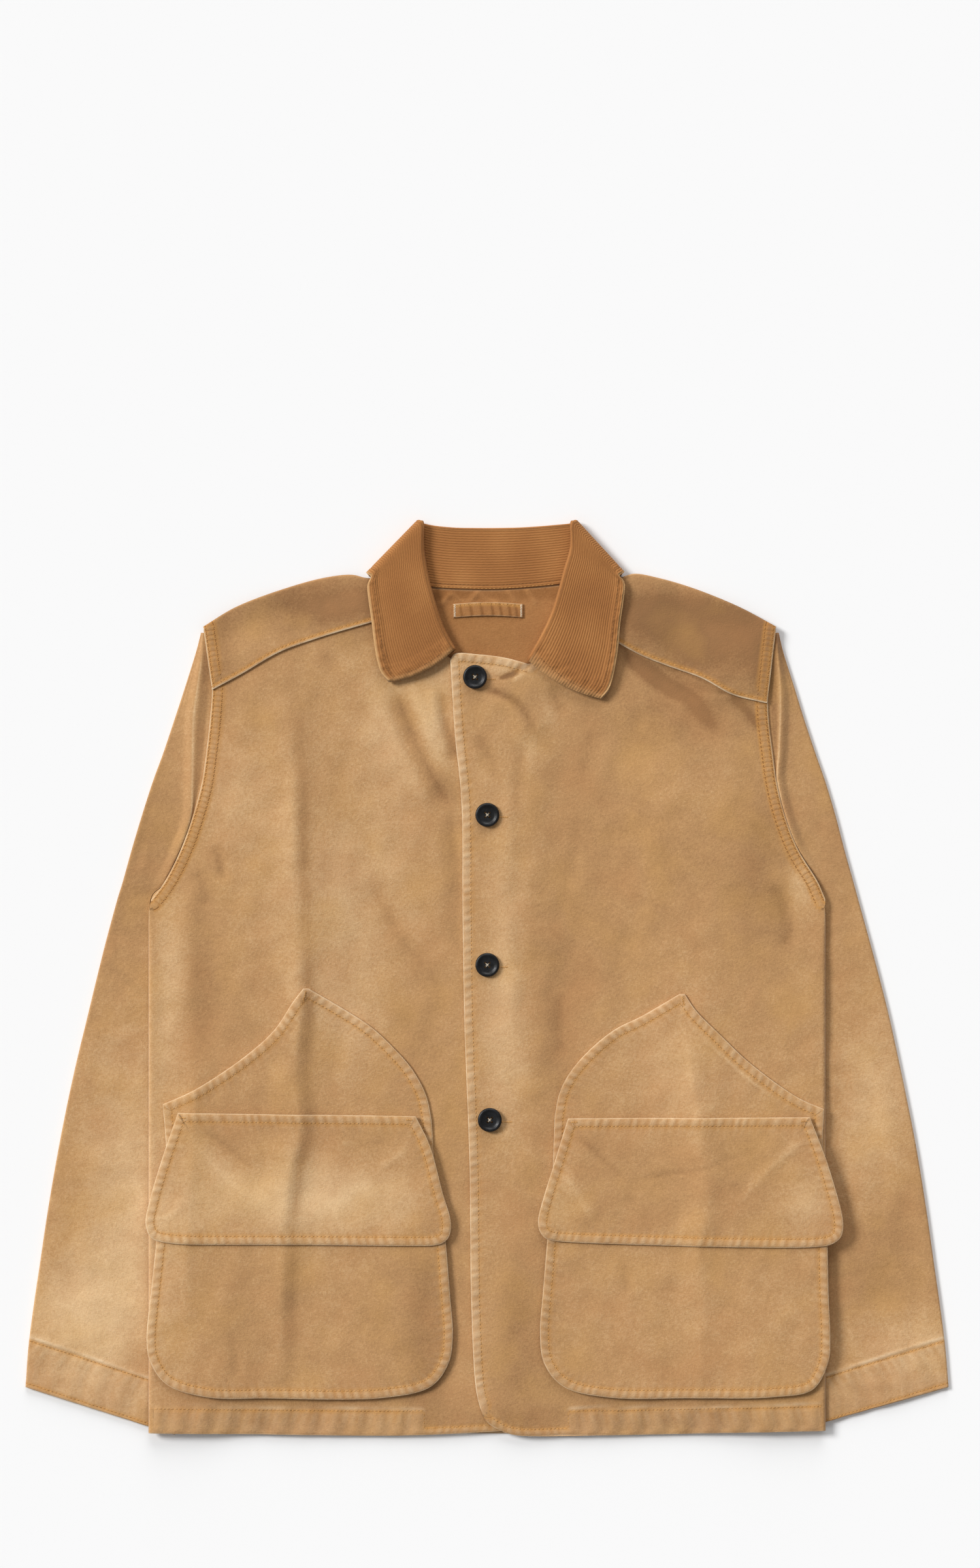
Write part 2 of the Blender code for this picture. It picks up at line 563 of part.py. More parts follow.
# ---------------------------------------------------------------- collar
def collar_stations():
    """Neck, roll (stand side and fall side) and edge in space, and the fall's side.

    In front the fall lies over the stand, behind it lies under it, and both turn over
    together at the shoulders.
    """
    up = Vector((0, 0, 1))
    over_body = 2 * CLOTH + YOKE_LIFT + SEAM + 0.2
    fall_front = over_body + UNDER + SEAM + CORD / 2
    fall_back = CORD / 2
    stations = []

    def add(row, stand, roll, edge, shift_stand, shift_fall, side):
        neck = Vector((row[0], row[1], stand)) + shift_stand
        low = Vector((row[2], row[3], stand)) + shift_stand
        high = Vector((row[2], row[3], roll)) + shift_fall
        outer = Vector((row[4], row[5], edge)) + shift_fall
        stations.append((neck, low, high, outer, side))

    def front(row):
        stand = front_low(row[0], row[1])
        edge = max(stand, front_low(row[4], row[5])) + fall_front
        add(row, stand + CORD / 2, stand + fall_front + 0.2, edge, Vector(), Vector(), up)

    def turn(row, angles):
        normal = Vector((row[5] - row[3], row[2] - row[4], 0)).normalized()
        normal = normal if normal.y > 0 else -normal
        back = back_low(row[0], row[1] - 12.0) + CORD / 2
        bend = FOLD_RADIUS + 0.1
        high = back + 2 * bend + fall_front - CORD / 2
        middle, wide = (high + fall_back) / 2, (high - fall_back) / 2
        for angle in angles:
            out, rise = math.sin(math.radians(angle)), math.cos(math.radians(angle))
            fall = middle + wide * rise
            add(row, back + bend * (1 + rise), fall, fall, normal * (bend * out - wide),
                normal * (wide * out - wide), normal * out + up * rise)

    for row in RIGHT_LEAF:
        front(row)
    turn(RIGHT_TURN, (0, 45, 90, 135, 180))
    for row in BACK_COLLAR:
        stand = back_low(row[0], row[1] - 12.0) + CORD / 2
        add(row, stand, fall_back, fall_back, Vector(), Vector(), -up)
    turn(LEFT_TURN, (180, 135, 90, 45, 0))
    for row in LEFT_LEAF:
        front(row)
    return stations


def make_collar():
    rows, under = [], []
    for neck, low, high, edge, side in collar_stations():
        inward, outward = (low - neck).normalized(), (edge - high).normalized()
        radius = min((high - low).length / 2, 0.42 * (low - neck).length)
        stand_end, fall_start = low - inward * radius, high + outward * radius
        middle, half = (stand_end + fall_start) / 2, (stand_end - fall_start) / 2
        row = [neck.lerp(stand_end, share) for share in (0.0, 0.33, 0.66)]
        for k in range(5):
            turn = math.pi * k / 4
            way = inward.lerp(-outward, k / 4).normalized()
            row.append(middle + half * math.cos(turn) + way * radius * math.sin(turn))
        row += [fall_start.lerp(edge, share) for share in (0.2, 0.4, 0.6, 0.8, 1.0)]
        rows.append(row)
        inside = side * (CORD / 2 + SEAM + UNDER / 2)
        end = edge + outward * 0.8
        under.append([fall_start.lerp(end, share) - inside
                      for share in (0.12, 0.34, 0.56, 0.78, 1.0)])
    cloth("collar", rows, CORD, "corduroy")
    cloth("under_collar", under, UNDER, "canvas")


# ---------------------------------------------------------------- pockets
def patch_rows(outline, count_across, count_along):
    if "opening" in outline:
        top = trace(outline["opening"], (outline["opening"][-1], outline["rounded"][0]),
                    outline["rounded"])
    else:
        top = trace(outline["top"])
    return sheet_grid(top, trace(outline["bottom"]), trace(outline["outer"]),
                      trace(outline["inner"]), shares(count_across), shares(count_along))


def make_pocket(side, patch, cargo, flap):
    base = front_low if side == "right" else over_low
    lift = CLOTH / 2
    for name, rows, air in (("pocket_", patch_rows(patch, 18, 12), LAP_AIR),
                            ("cargo_", patch_rows(cargo, 16, 8), PATCH_AIR),
                            ("flap_", patch_rows(flap, 16, 8), PATCH_AIR)):
        lift += CLOTH + SEAM + air
        cloth(name + side, lay(rows, base, lift), CLOTH, "canvas")


# ---------------------------------------------------------------- small pieces
def make_hanger():
    length, width, wall = 59.0, 11.5, 1.0
    rows = []
    for v in (-0.5, 0.0, 0.5):
        row = []
        for u in shares(10):
            x = NECK_CENTRE - 7.7 + (u - 0.5) * length
            y = 309.5 + v * width + 1.6 * math.sin(math.pi * u)
            arch = 0.5 * math.sin(math.pi * u)
            row.append((x, y, back_low(x, y) + CLOTH + SEAM + wall / 2 + arch))
        rows.append(row)
    cloth("hanger_loop", rows, wall, "canvas_inside")


def make_button(index, centre):
    """A turned button: flat underside, rounded rim and a dished face."""
    half = BUTTON_WIDTH / 2
    profile = ((0.0, 0.0), (0.62, 0.0), (0.93, 0.22), (1.0, 0.5), (0.95, 0.82), (0.86, 1.0),
               (0.72, 0.94), (0.6, 0.66), (0.0, 0.6))
    data = bmesh.new()
    verts = [data.verts.new((r * half * MM, 0.0, z * BUTTON_HEIGHT * MM)) for r, z in profile]
    edges = [data.edges.new(pair) for pair in zip(verts, verts[1:])]
    bmesh.ops.spin(data, geom=verts + edges, cent=(0, 0, 0), axis=(0, 0, 1),
                   angle=math.tau, steps=20, use_merge=True)
    bmesh.ops.remove_doubles(data, verts=data.verts, dist=1e-6)
    bmesh.ops.recalc_face_normals(data, faces=data.faces)
    piece = finish(data, "button_%d" % index, "horn")
    x, y = centre
    rest = max(over_low(x + half * math.cos(a), y + half * math.sin(a))
               for a in [math.tau * k / 12 for k in range(12)])
    rest = max(rest, over_low(x, y)) + CLOTH
    piece.location = Vector((x, y, rest + BUTTON_LIFT)) * MM
    return piece


def main():
    clear_scene()
    make_back()
    make_fronts()
    make_yoke()
    make_sleeve("right")
    make_sleeve("left")
    make_collar()
    make_pocket("right", RIGHT_PATCH, RIGHT_CARGO, RIGHT_FLAP)
    make_pocket("left", LEFT_PATCH, LEFT_CARGO, LEFT_FLAP)
    make_hanger()
    for index, centre in enumerate(BUTTON_CENTRES, start=1):
        make_button(index, centre)


main()
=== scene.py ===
# A hunting jacket of washed duck canvas with a corduroy collar, buttoned and laid flat.
# Tables are in millimetres in the jacket's own frame: X across, Y from hem to collar, Z up.
# "Right" and "left" are the wearer's, so the right front lies at -X.
import math

import bmesh
import bpy
import numpy as np
from mathutils import Matrix, Vector
from mathutils.bvhtree import BVHTree


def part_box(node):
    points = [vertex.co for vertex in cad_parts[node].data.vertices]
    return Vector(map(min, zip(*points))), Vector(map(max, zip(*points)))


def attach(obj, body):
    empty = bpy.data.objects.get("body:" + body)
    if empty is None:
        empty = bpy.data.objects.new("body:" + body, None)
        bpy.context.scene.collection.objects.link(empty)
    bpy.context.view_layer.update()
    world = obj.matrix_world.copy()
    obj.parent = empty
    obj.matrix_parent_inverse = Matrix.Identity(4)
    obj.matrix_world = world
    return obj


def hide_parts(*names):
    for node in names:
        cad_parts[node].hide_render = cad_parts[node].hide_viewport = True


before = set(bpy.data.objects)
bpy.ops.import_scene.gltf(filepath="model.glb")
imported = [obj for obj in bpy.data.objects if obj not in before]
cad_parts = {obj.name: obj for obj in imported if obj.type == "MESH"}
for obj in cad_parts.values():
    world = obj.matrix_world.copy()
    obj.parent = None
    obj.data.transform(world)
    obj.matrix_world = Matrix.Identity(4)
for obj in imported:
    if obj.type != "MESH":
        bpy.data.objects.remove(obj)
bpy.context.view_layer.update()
mm = 0.001
pieces = {}      # finished cloth pieces by name
sewn = {}        # threads that belong to a cloth piece

# sizes shared with the solids
cloth = {"wall": 1.3, "cord": 1.4, "under": 1.0, "clear": 0.35, "bend": 1.1}
body = {"side": 284.6, "armpit": 66.0, "sideTop": 56.0, "sleeveLength": 411.0, "sleeveLift": 4.3,
        "collarLift": 3.0, "ramp": 62.0, "gap": 2.0, "seamGap": 0.7, "lapAir": 0.45,
        "patchAir": 0.2, "yokeLift": 0.8, "yokeBackSeam": 210.0, "neckCentre": 8.5,
        "underEdge": 26.0}
# where one height passes into another, and the straight lines that the cloth follows
lies = {"shoulder": (101.0, 341.0), "shoulderFall": 0.33, "shoulderRamp": (4.0, 60.0),
        "foldRamp": (4.0, 45.0), "creaseRamp": (1.0, 14.0), "sideRamp": (-10.0, 30.0),
        "lapRamp": (-66.0, -34.0), "collarRamp": (262.0, 306.0), "collarSides": (-165.0, -108.0),
        "sleeveIn": 14.0, "foldLean": 63.0, "foldTop": 225.0, "foldRun": 452.0,
        "least": 0.25}

# columns: y, armhole right, left, sleeve edge right, left, pleat right, left
armRows = np.array((
    (291.0, -237.4, 242.3, -240.6, 245.4, -238.9, 243.8),
    (274.0, -234.2, 238.7, -245.0, 249.4, -240.0, 244.6),
    (244.0, -231.4, 236.0, -254.4, 258.8, -244.0, 246.9),
    (219.0, -233.1, 237.0, -262.6, 266.5, -247.2, 247.0),
    (190.0, -236.4, 240.4, -272.3, 276.1, -248.0, 245.8),
    (165.0, -240.0, 243.9, -281.4, 284.8, -248.3, 244.6),
    (137.0, -247.5, 250.7, -290.4, 293.2, -249.5, 251.6),
    (109.0, -257.5, 261.5, -298.8, 300.5, -259.0, 262.5),
    (81.0, -271.5, 278.5, -306.6, 308.3, -273.0, 279.5),
    (body["armpit"], -282.8, 285.0, -311.2, 312.4, -284.3, 286.0),
))
# columns: y of the sleeve's outer fold, x right, x left
forearmRows = (
    (66.0, -311.2, 312.4), (26.0, -322.0, 323.4), (-28.0, -335.2, 337.4),
    (-84.0, -348.6, 349.6), (-139.0, -359.8, 360.6), (-194.0, -369.4, 369.6),
    (-249.0, -377.6, 377.4), (-304.0, -385.4, 385.0), (-345.0, -388.6, 388.6),
)
cuffInner = {"right": (-268.0, -384.8), "left": (272.0, -380.6)}
innerFoldAt = {"armpit": 165.0, "cuff": 264.0}      # the fold under the body
sides = {"right": (-1, 1), "left": (1, 2)}      # sign of x, column of the armhole

yokeSeam = {
    "right": ((-231.4, 242.9), (-205.5, 256.9), (-174.0, 275.1), (-138.6, 287.8),
              (-97.6, 299.8), (-78.0, 306.0)),
    "left": ((235.8, 231.6), (206.4, 239.0), (180.8, 252.7), (151.4, 263.4),
             (131.7, 271.3), (111.1, 282.1), (93.0, 293.0)),
}
shoulder = {
    "right": ((-238.9, 295.6), (-211.5, 312.1), (-168.0, 328.6), (-137.2, 336.9),
              (-114.0, 339.4), (-101.5, 336.6), (-82.5, 336.0)),
    "left": ((243.4, 295.6), (212.6, 312.1), (172.4, 328.6), (143.8, 336.9),
             (124.0, 340.2), (112.0, 337.0), (99.5, 336.5)),
}
rightNeck = ((-78.0, 306.0), (-70.0, 297.0), (-57.0, 285.0), (-41.0, 276.0), (-29.0, 269.0))
leftNeck = ((93.0, 293.0), (84.0, 288.0), (70.0, 280.0), (52.0, 272.0), (36.0, 264.5))
backNeck = ((-82.5, 336.0), (-66.0, 332.0), (-44.9, 328.1), (8.0, 326.6), (60.3, 330.4),
            (82.0, 333.6), (99.5, 336.5))
overEdge = ((-30.9, 268.0), (-27.2, 209.3), (-21.4, 147.1), (-20.4, 56.0), (-19.0, -34.9),
            (-14.6, -158.7), (-13.1, -276.4), (-9.3, -345.7), (-5.6, -362.2),
            (0.8, -374.8), (14.6, -382.5))
overTop = ((-30.9, 268.0), (-27.2, 273.1), (-6.2, 272.6), (14.0, 270.1), (36.0, 264.5))
overHem = ((14.6, -382.5), (27.2, -385.3), (118.0, -385.0), (284.6, -381.0))
underTop = (body["underEdge"], 262.0)
underFoot = (body["underEdge"], -381.0)
underHem = (underFoot, (-29.4, -384.0), (-80.0, -385.6), (-284.6, -383.0))
backHem = ((-283.6, -382.0), (0.0, -384.0), (283.6, -380.0))
# where each front's facing ends, its hem stitching starts
hemRuns = {"right": ((-53.0, -385.0),) + underHem[2:], "left": ((68.5, -385.2),) + overHem[2:]}
facingRuns = {"right": (underHem[1], hemRuns["right"][0]),
              "left": ((0.8, -374.8), (14.6, -382.5), (27.2, -385.3), hemRuns["left"][0])}
yokeArmhole = {"right": (shoulder["right"][0], yokeSeam["right"][0]),
               "left": (shoulder["left"][0], yokeSeam["left"][0])}

# collar stations, columns: neck x, y, roll x, y, outer edge x, y, bow of the fall
rightLeaf = (
    (-31.5, 272.4, -26.4, 276.8, -82.0, 249.6, 4.8),
    (-39.4, 278.2, -32.0, 286.0, -89.6, 258.6, 4.0),
    (-55.6, 287.4, -38.5, 299.5, -94.0, 275.5, 2.0),
    (-68.2, 299.0, -44.5, 318.0, -97.0, 299.5, 0.6),
    (-75.6, 310.0, -49.5, 337.0, -99.6, 318.0, 0.0),
    (-78.6, 325.0, -53.5, 361.0, -100.6, 330.0, 0.0),
)
rightTurn = (-82.6, 347.0, -57.5, 386.4, -101.5, 341.3)
backCollar = (
    (-64.0, 334.0, -43.0, 380.6, -84.0, 330.0),
    (-44.0, 329.6, -26.4, 379.1, -56.0, 319.0),
    (-18.0, 328.2, -9.0, 378.8, -24.0, 313.0),
    (8.0, 328.0, 8.0, 378.8, 8.0, 311.0),
    (36.0, 329.6, 27.0, 379.2, 41.0, 313.0),
    (60.3, 332.2, 43.4, 380.2, 73.0, 319.0),
    (80.0, 335.6, 60.0, 381.6, 98.0, 330.0),
)
leftTurn = (99.6, 347.0, 74.5, 386.4, 115.4, 342.0)
leftLeaf = (
    (95.6, 322.0, 70.5, 363.0, 115.9, 331.5, 0.0),
    (92.4, 303.0, 65.5, 345.0, 114.6, 316.0, 0.0),
    (83.0, 290.4, 60.0, 324.5, 112.0, 297.5, 0.6),
    (69.0, 282.4, 54.0, 306.0, 109.6, 272.5, 2.0),
    (51.0, 275.8, 45.0, 287.0, 104.0, 246.5, 4.0),
    (39.6, 266.6, 33.6, 267.6, 96.0, 235.4, 4.6),
)

# hand-warmer patches: the slanted opening and the rounded inner side meet in the apex
patches = {
    "right": {
        "opening": ((-272.7, -106.0), (-247.0, -94.4), (-204.1, -66.1), (-178.8, -43.4),
                    (-163.6, -20.6), (-154.6, -8.5)),
        "rounded": ((-150.6, -8.5), (-123.3, -24.5), (-98.0, -40.9), (-77.8, -59.8),
                    (-62.6, -77.5), (-51.3, -98.9), (-46.8, -119.2)),
        "outer": ((-272.7, -106.0), (-269.8, -147.0), (-273.0, -221.0), (-279.0, -263.0),
                  (-281.0, -322.0)),
        "inner": ((-46.8, -119.2), (-44.0, -160.0), (-37.0, -225.2), (-33.0, -301.0),
                  (-36.0, -324.0)),
        "bottom": ((-281.0, -322.0), (-256.0, -344.0), (-170.0, -349.0), (-62.0, -346.0),
                   (-36.0, -324.0)),
    },
    "left": {
        "opening": ((283.4, -110.0), (261.4, -100.2), (221.0, -71.2), (195.7, -47.2),
                    (175.6, -27.0), (166.2, -13.1)),
        "rounded": ((162.2, -13.1), (130.1, -32.1), (107.4, -43.4), (87.2, -59.8),
                    (69.5, -80.0), (60.7, -97.6), (56.9, -116.7)),
        "outer": ((283.4, -110.0), (282.0, -150.0), (283.0, -221.0), (283.0, -285.0),
                  (281.0, -324.0)),
        "inner": ((56.9, -116.7), (55.6, -154.5), (53.0, -221.4), (49.0, -298.4),
                  (53.0, -326.0)),
        "bottom": ((281.0, -324.0), (256.0, -347.0), (170.5, -349.4), (78.0, -346.0),
                   (53.0, -326.0)),
    },
}
cargos = {
    "right": {
        "top": ((-276.0, -205.0), (-36.0, -207.0)),
        "outer": ((-276.0, -205.0), (-282.4, -263.1), (-286.1, -303.5), (-283.6, -321.2),
                  (-270.0, -341.0)),
        "inner": ((-36.0, -207.0), (-31.1, -268.1), (-28.9, -301.0), (-32.3, -323.7),
                  (-47.0, -343.5)),
        "bottom": ((-270.0, -341.0), (-236.9, -352.0), (-186.4, -353.5), (-85.5, -353.0),
                   (-47.0, -343.5)),
    },
    "left": {
        "top": ((286.0, -205.0), (52.0, -205.0)),
        "outer": ((286.0, -205.0), (287.0, -263.0), (288.5, -303.0), (287.0, -322.0),
                  (274.0, -345.5)),
        "inner": ((52.0, -205.0), (47.2, -263.1), (44.7, -298.4), (48.0, -323.7),
                  (64.0, -343.5)),
        "bottom": ((274.0, -345.5), (240.0, -352.0), (170.5, -353.4), (102.3, -352.8),
                   (64.0, -343.5)),
    },
}
flaps = {
    "right": {
        "top": ((-259.6, -113.0), (-60.1, -116.1)),
        "outer": ((-259.6, -113.0), (-272.3, -149.3), (-283.6, -187.3), (-286.9, -206.3),
                  (-282.4, -217.5)),
        "inner": ((-60.1, -116.1), (-48.0, -141.0), (-37.0, -182.0), (-31.4, -200.0),
                  (-30.4, -210.0), (-32.8, -218.5)),
        "bottom": ((-282.4, -217.5), (-272.0, -221.5), (-166.2, -224.0), (-58.0, -225.0),
                   (-46.0, -224.8), (-38.0, -223.0), (-32.8, -218.5)),
    },
    "left": {
        "top": ((271.4, -116.7), (68.2, -117.9)),
        "outer": ((271.4, -116.7), (284.1, -149.5), (294.3, -182.3), (298.4, -199.0),
                  (299.2, -210.0), (297.0, -217.6)),
        "inner": ((68.2, -117.9), (56.9, -154.5), (45.4, -192.0), (43.2, -202.0),
                  (43.8, -211.0), (48.0, -217.6)),
        "bottom": ((297.0, -217.6), (290.5, -222.8), (280.4, -225.2), (175.6, -225.2),
                   (68.0, -221.8), (55.0, -220.4), (48.0, -217.6)),
    },
}
buttonCentres = ((-10.1, 253.7), (0.3, 137.6), (0.3, 11.3), (2.3, -119.2))

# the large folds that the solids have too; start x, y, end x, y, half width, height
largeFolds = (
    (-167.0, 246.0, -156.0, 60.0, 24.0, 1.3),
    (-156.0, 60.0, -174.0, -319.0, 24.0, 1.1),
    (-241.0, 60.0, -241.0, -70.0, 22.0, -1.2),
    (-64.0, 250.0, -36.0, 150.0, 22.0, 1.4),
    (114.0, 274.0, 196.0, 200.0, 20.0, -1.2),
    (206.0, 236.0, 232.0, 206.0, 16.0, -1.0),
    (10.0, 244.0, 40.0, 206.0, 18.0, 1.4),
    (183.0, 40.0, 183.0, -350.0, 24.0, 1.1),
    (100.0, 60.0, 96.0, -60.0, 28.0, 0.9),
)
# finer creases, placed one by one: half width left of the run and right of it, height,
# how much paler the dye is on it, where negative partly darker dye and partly painted shade in
# the trough, points
creases = (
    # wearer's right front and its pocket
    (15.0, 32.0, 2.9, 0.1, ((-170, 262), (-169, 235), (-166, 205), (-163, 160), (-162, 120),
                            (-161, 80), (-160, 50), (-159, 10), (-156, -20), (-160, -60),
                            (-160, -95), (-156, -125), (-165, -160), (-170, -200),
                            (-172, -250), (-175, -320), (-177, -374))),
    (8.0, 8.0, 0.0, -0.35, ((-162, 262), (-161, 235), (-158, 205), (-155, 160), (-154, 120),
                            (-153, 80), (-152, 50), (-151, 10), (-149, -20), (-152, -60),
                            (-152, -95), (-149, -125), (-157, -160), (-162, -200),
                            (-164, -250), (-167, -320), (-169, -374))),
    (16.0, 18.0, -2.6, -1.05, ((-78, 244), (-63, 206), (-52, 182), (-40, 160), (-30, 140))),
    (14.0, 26.0, 1.8, 0.1, ((-94, 242), (-78, 208), (-68, 184), (-56, 160), (-44, 140))),
    (8.0, 14.0, 1.6, 0.1, ((-48, 250), (-43, 222), (-37, 200), (-31, 180))),
    (7.0, 10.0, -2.4, -0.8, ((-38, 246), (-34, 216), (-28, 195), (-25, 178))),
    (6.0, 16.0, -1.5, -0.3, ((-33, 150), (-27, 110), (-25, 60), (-26, 10))),
    (16.0, 18.0, -1.4, -0.3, ((-104, 86), (-85, 58), (-70, 30), (-50, 5), (-30, -22))),
    (20.0, 26.0, 1.9, 0.05, ((-256, 100), (-250, 60), (-249, 20), (-250, -10), (-248, -50),
                            (-246, -90), (-248, -160), (-252, -230), (-253, -340))),
    (9.0, 9.0, -1.3, -0.35, ((-229, 114), (-224, 96), (-221, 80))),
    (10.0, 10.0, -1.0, -0.35, ((-245, 92), (-238, 74), (-236, 58))),
    (4.0, 6.0, -0.7, -0.1, ((-177, 0), (-170, -14), (-165, -30))),
    (12.0, 12.0, -1.1, -0.25, ((-142, 280), (-126, 255), (-110, 233), (-95, 220))),
    (7.0, 7.0, -0.7, -0.2, ((-240, -126), (-212, -147), (-192, -164))),
    (17.0, 17.0, 0.6, 0.3, ((-254, -131), (-226, -160), (-200, -183), (-172, -190))),
    (2.0, 2.0, -0.35, -0.2, ((-142, -149), (-100, -140), (-76, -136))),
    (4.0, 4.0, 0.6, 0.3, ((-62, -127), (-72, -146), (-92, -161))),
    (3.0, 3.0, 0.6, 0.3, ((-279, -204), (-262, -196), (-254, -183))),
    (24.0, 18.0, 0.4, 0.3, ((-136, -196), (-112, -179), (-92, -172))),
    (8.0, 8.0, -0.7, -0.1, ((-216, -290), (-212, -318), (-210, -340))),
    (2.5, 2.5, -0.5, -0.3, ((-256, -110), (-215, -87), (-190, -67), (-165, -44), (-156, -32))),
    (10.0, 12.0, 0.9, 0.25, ((-64, 250), (-52, 214), (-42, 186), (-33, 164))),
    # wearer's left front and its pocket
    (2.7, 3.0, -1.9, -3.0, ((42, 268), (35, 264.5), (28.5, 260.5), (22.5, 256.8), (16, 254),
                            (9, 252.5))),
    (5.0, 5.0, 1.0, 0.6, ((38, 262), (28, 256), (20, 249))),
    (11.0, 11.0, -2.8, -1.3, ((110, 279), (130, 262), (150, 247), (172, 235), (185, 219),
                             (200, 203))),
    (9.0, 9.0, -2.4, -1.3, ((204, 240), (218, 226), (226, 216), (233, 209))),
    (3.0, 3.0, -0.8, -0.2, ((223, 201), (229, 194), (236, 189))),
    (3.0, 3.0, -0.7, -0.2, ((150, 262), (178, 244), (204, 240), (230, 235))),
    (7.0, 7.0, -2.6, -0.8, ((-4, 244), (12, 239), (28, 229), (36, 216), (38, 202))),
    (12.0, 20.0, 1.4, 0.05, ((19, 178), (19, 140), (18, 100), (17, 60), (19, 30), (23, -5),
                           (22, -35), (32, -72), (46, -104))),
    (9.0, 9.0, -1.2, -0.25, ((31, 198), (26, 165), (23, 138))),
    (10.0, 10.0, -1.2, -0.3, ((-11, 205), (0, 190), (10, 164))),
    (9.0, 9.0, -0.6, -0.1, ((76, 140), (74, 110), (67, 80), (60, 46))),
    (16.0, 16.0, -1.0, -0.25, ((87, 210), (84, 190), (80, 168))),
    (7.0, 8.0, -1.2, -0.3, ((53, 247), (60, 232), (67, 220))),
    (4.0, 4.0, -0.5, -0.1, ((213, 196), (222, 178), (232, 158))),
    (5.0, 5.0, -0.7, -0.1, ((220, 134), (238, 112), (253, 90))),
    (9.0, 13.0, -1.5, -0.4, ((236, 82), (250, 64), (254, 42), (251, 20))),
    (10.0, 10.0, -0.5, -0.1, ((205, 80), (210, 68), (216, 56))),
    (10.0, 10.0, -1.2, -0.25, ((63, -10), (60, -40), (63, -70))),
    (5.0, 5.0, -0.5, -0.1, ((178, 32), (174, 12), (170, -8))),
    (16.0, 28.0, 1.9, 0.1, ((166, -24), (172, -75), (177, -108), (181, -130), (181, -150),
                            (186, -190), (177, -228), (182, -270), (178, -345), (176, -375))),
    (8.0, 8.0, -0.8, -0.1, ((110, -228), (117, -250), (119, -270))),
    (8.0, 8.0, -0.6, -0.1, ((104, -292), (110, -310), (117, -328))),
    (4.0, 5.0, -1.2, -0.4, ((75, -131), (95, -150), (120, -172))),
    (3.0, 3.0, -0.6, -0.2, ((118, -172), (150, -165), (185, -160), (203, -152), (232, -144))),
    (7.0, 8.0, 0.9, 0.35, ((270, -132), (240, -158), (206, -194))),
    (9.0, 9.0, 0.7, 0.25, ((62, -160), (76, -182), (92, -206))),
    (2.5, 2.5, 0.5, 0.3, ((158, -22), (185, -52), (215, -80), (252, -110))),
)


# ---- curves and fields
def ease(value, start, end):
    share = np.clip((value - start) / (end - start), 0.0, 1.0)
    return share * share * (3.0 - 2.0 * share)


def smoothThrough(points, per=8, spacing=0.5):
    # tangents follow the spacing of the points, so a long run never loops a short one
    points = np.asarray(points, float)
    t = (np.arange(1, per + 1) / per)[:, None]
    if len(points) == 2:
        return np.vstack([points[:1], points[0] * (1 - t) + points[1] * t])
    padded = np.vstack([2 * points[0] - points[1], points, 2 * points[-1] - points[-2]])
    gaps = np.maximum(np.linalg.norm(np.diff(padded, axis=0), axis=1), 1e-6) ** spacing
    made = [points[:1]]
    for k in range(1, len(points)):
        a, b, c, d = padded[k - 1:k + 3]
        before, here, after = gaps[k - 1:k + 2]
        leave = ((b - a) * here ** 2 / (before * (before + here))
                 + (c - b) * before / (before + here))
        arrive = (c - b) * after / (here + after) + (d - c) * here ** 2 / (after * (here + after))
        made.append((2 * t ** 3 - 3 * t ** 2 + 1) * b + (t ** 3 - 2 * t ** 2 + t) * leave
                    + (3 * t ** 2 - 2 * t ** 3) * c + (t ** 3 - t ** 2) * arrive)
    return np.vstack(made)


def trace(*runs):        # runs join in corners, each run is smooth
    parts = [smoothThrough(run) for run in runs]
    return np.vstack([parts[0]] + [part[1:] for part in parts[1:]])


def turnedRun(*runs):      # one smooth line through several runs, cut again where they meet
    points = list(runs[0])
    cuts = [0]
    for run in runs[1:]:
        cuts.append(len(points) - 1)
        points += run[1:]
    cuts.append(len(points) - 1)
    line = smoothThrough(points, 12)
    return [line[12 * a:12 * b + 1] for a, b in zip(cuts, cuts[1:])]


def lengths(path):
    return np.concatenate([[0.0], np.cumsum(np.linalg.norm(np.diff(path, axis=0), axis=1))])


def pick(path, shares):
    steps = lengths(path)
    where = np.asarray(shares) * steps[-1]
    return np.stack([np.interp(where, steps, column) for column in path.T], axis=1)


def spaced(length, step, first=True, last=True):
    # shares of a side, with lines close together beside a sewn edge
    close = np.array((0.0, 0.45, 1.1, 2.2, 3.8, 5.6, 7.0, 8.6, 11.0))
    start = close if first else close[:1]
    end = close if last else close[:1]
    count = max(2, round((length - start[-1] - end[-1]) / step) + 1)
    inner = np.linspace(start[-1], length - end[-1], count)
    return np.concatenate([start[:-1], inner, (length - end[::-1])[1:]]) / length


def patch(bottom, top, start, end, across, along):
    low, high = pick(bottom, across), pick(top, across)
    left, right = pick(start, along), pick(end, along)
    u, v = across[None, :, None], along[:, None, None]
    corners = ((1 - v) * ((1 - u) * low[0] + u * low[-1])
               + v * ((1 - u) * high[0] + u * high[-1]))
    return ((1 - v) * low[None] + v * high[None] + (1 - u) * left[:, None]
            + u * right[:, None] - corners)


def nearPath(path, x, y):
    # distance, length along the path, and side: 1 on its left, -1 on its right
    x, y = np.asarray(x, float), np.asarray(y, float)
    best, along, side = np.full(x.shape, 1e9), np.zeros(x.shape), np.ones(x.shape)
    start = 0.0
    for a, b in zip(path, path[1:]):
        run = b - a
        length = math.hypot(*run)
        if length < 1e-6:
            continue
        share = np.clip(((x - a[0]) * run[0] + (y - a[1]) * run[1]) / length ** 2, 0.0, 1.0)
        offX, offY = x - a[0] - run[0] * share, y - a[1] - run[1] * share
        away = np.hypot(offX, offY)
        closer = away < best
        best = np.where(closer, away, best)
        along = np.where(closer, start + share * length, along)
        side = np.where(closer, np.where(run[0] * offY - run[1] * offX >= 0, 1.0, -1.0), side)
        start += length
    return best, along, side


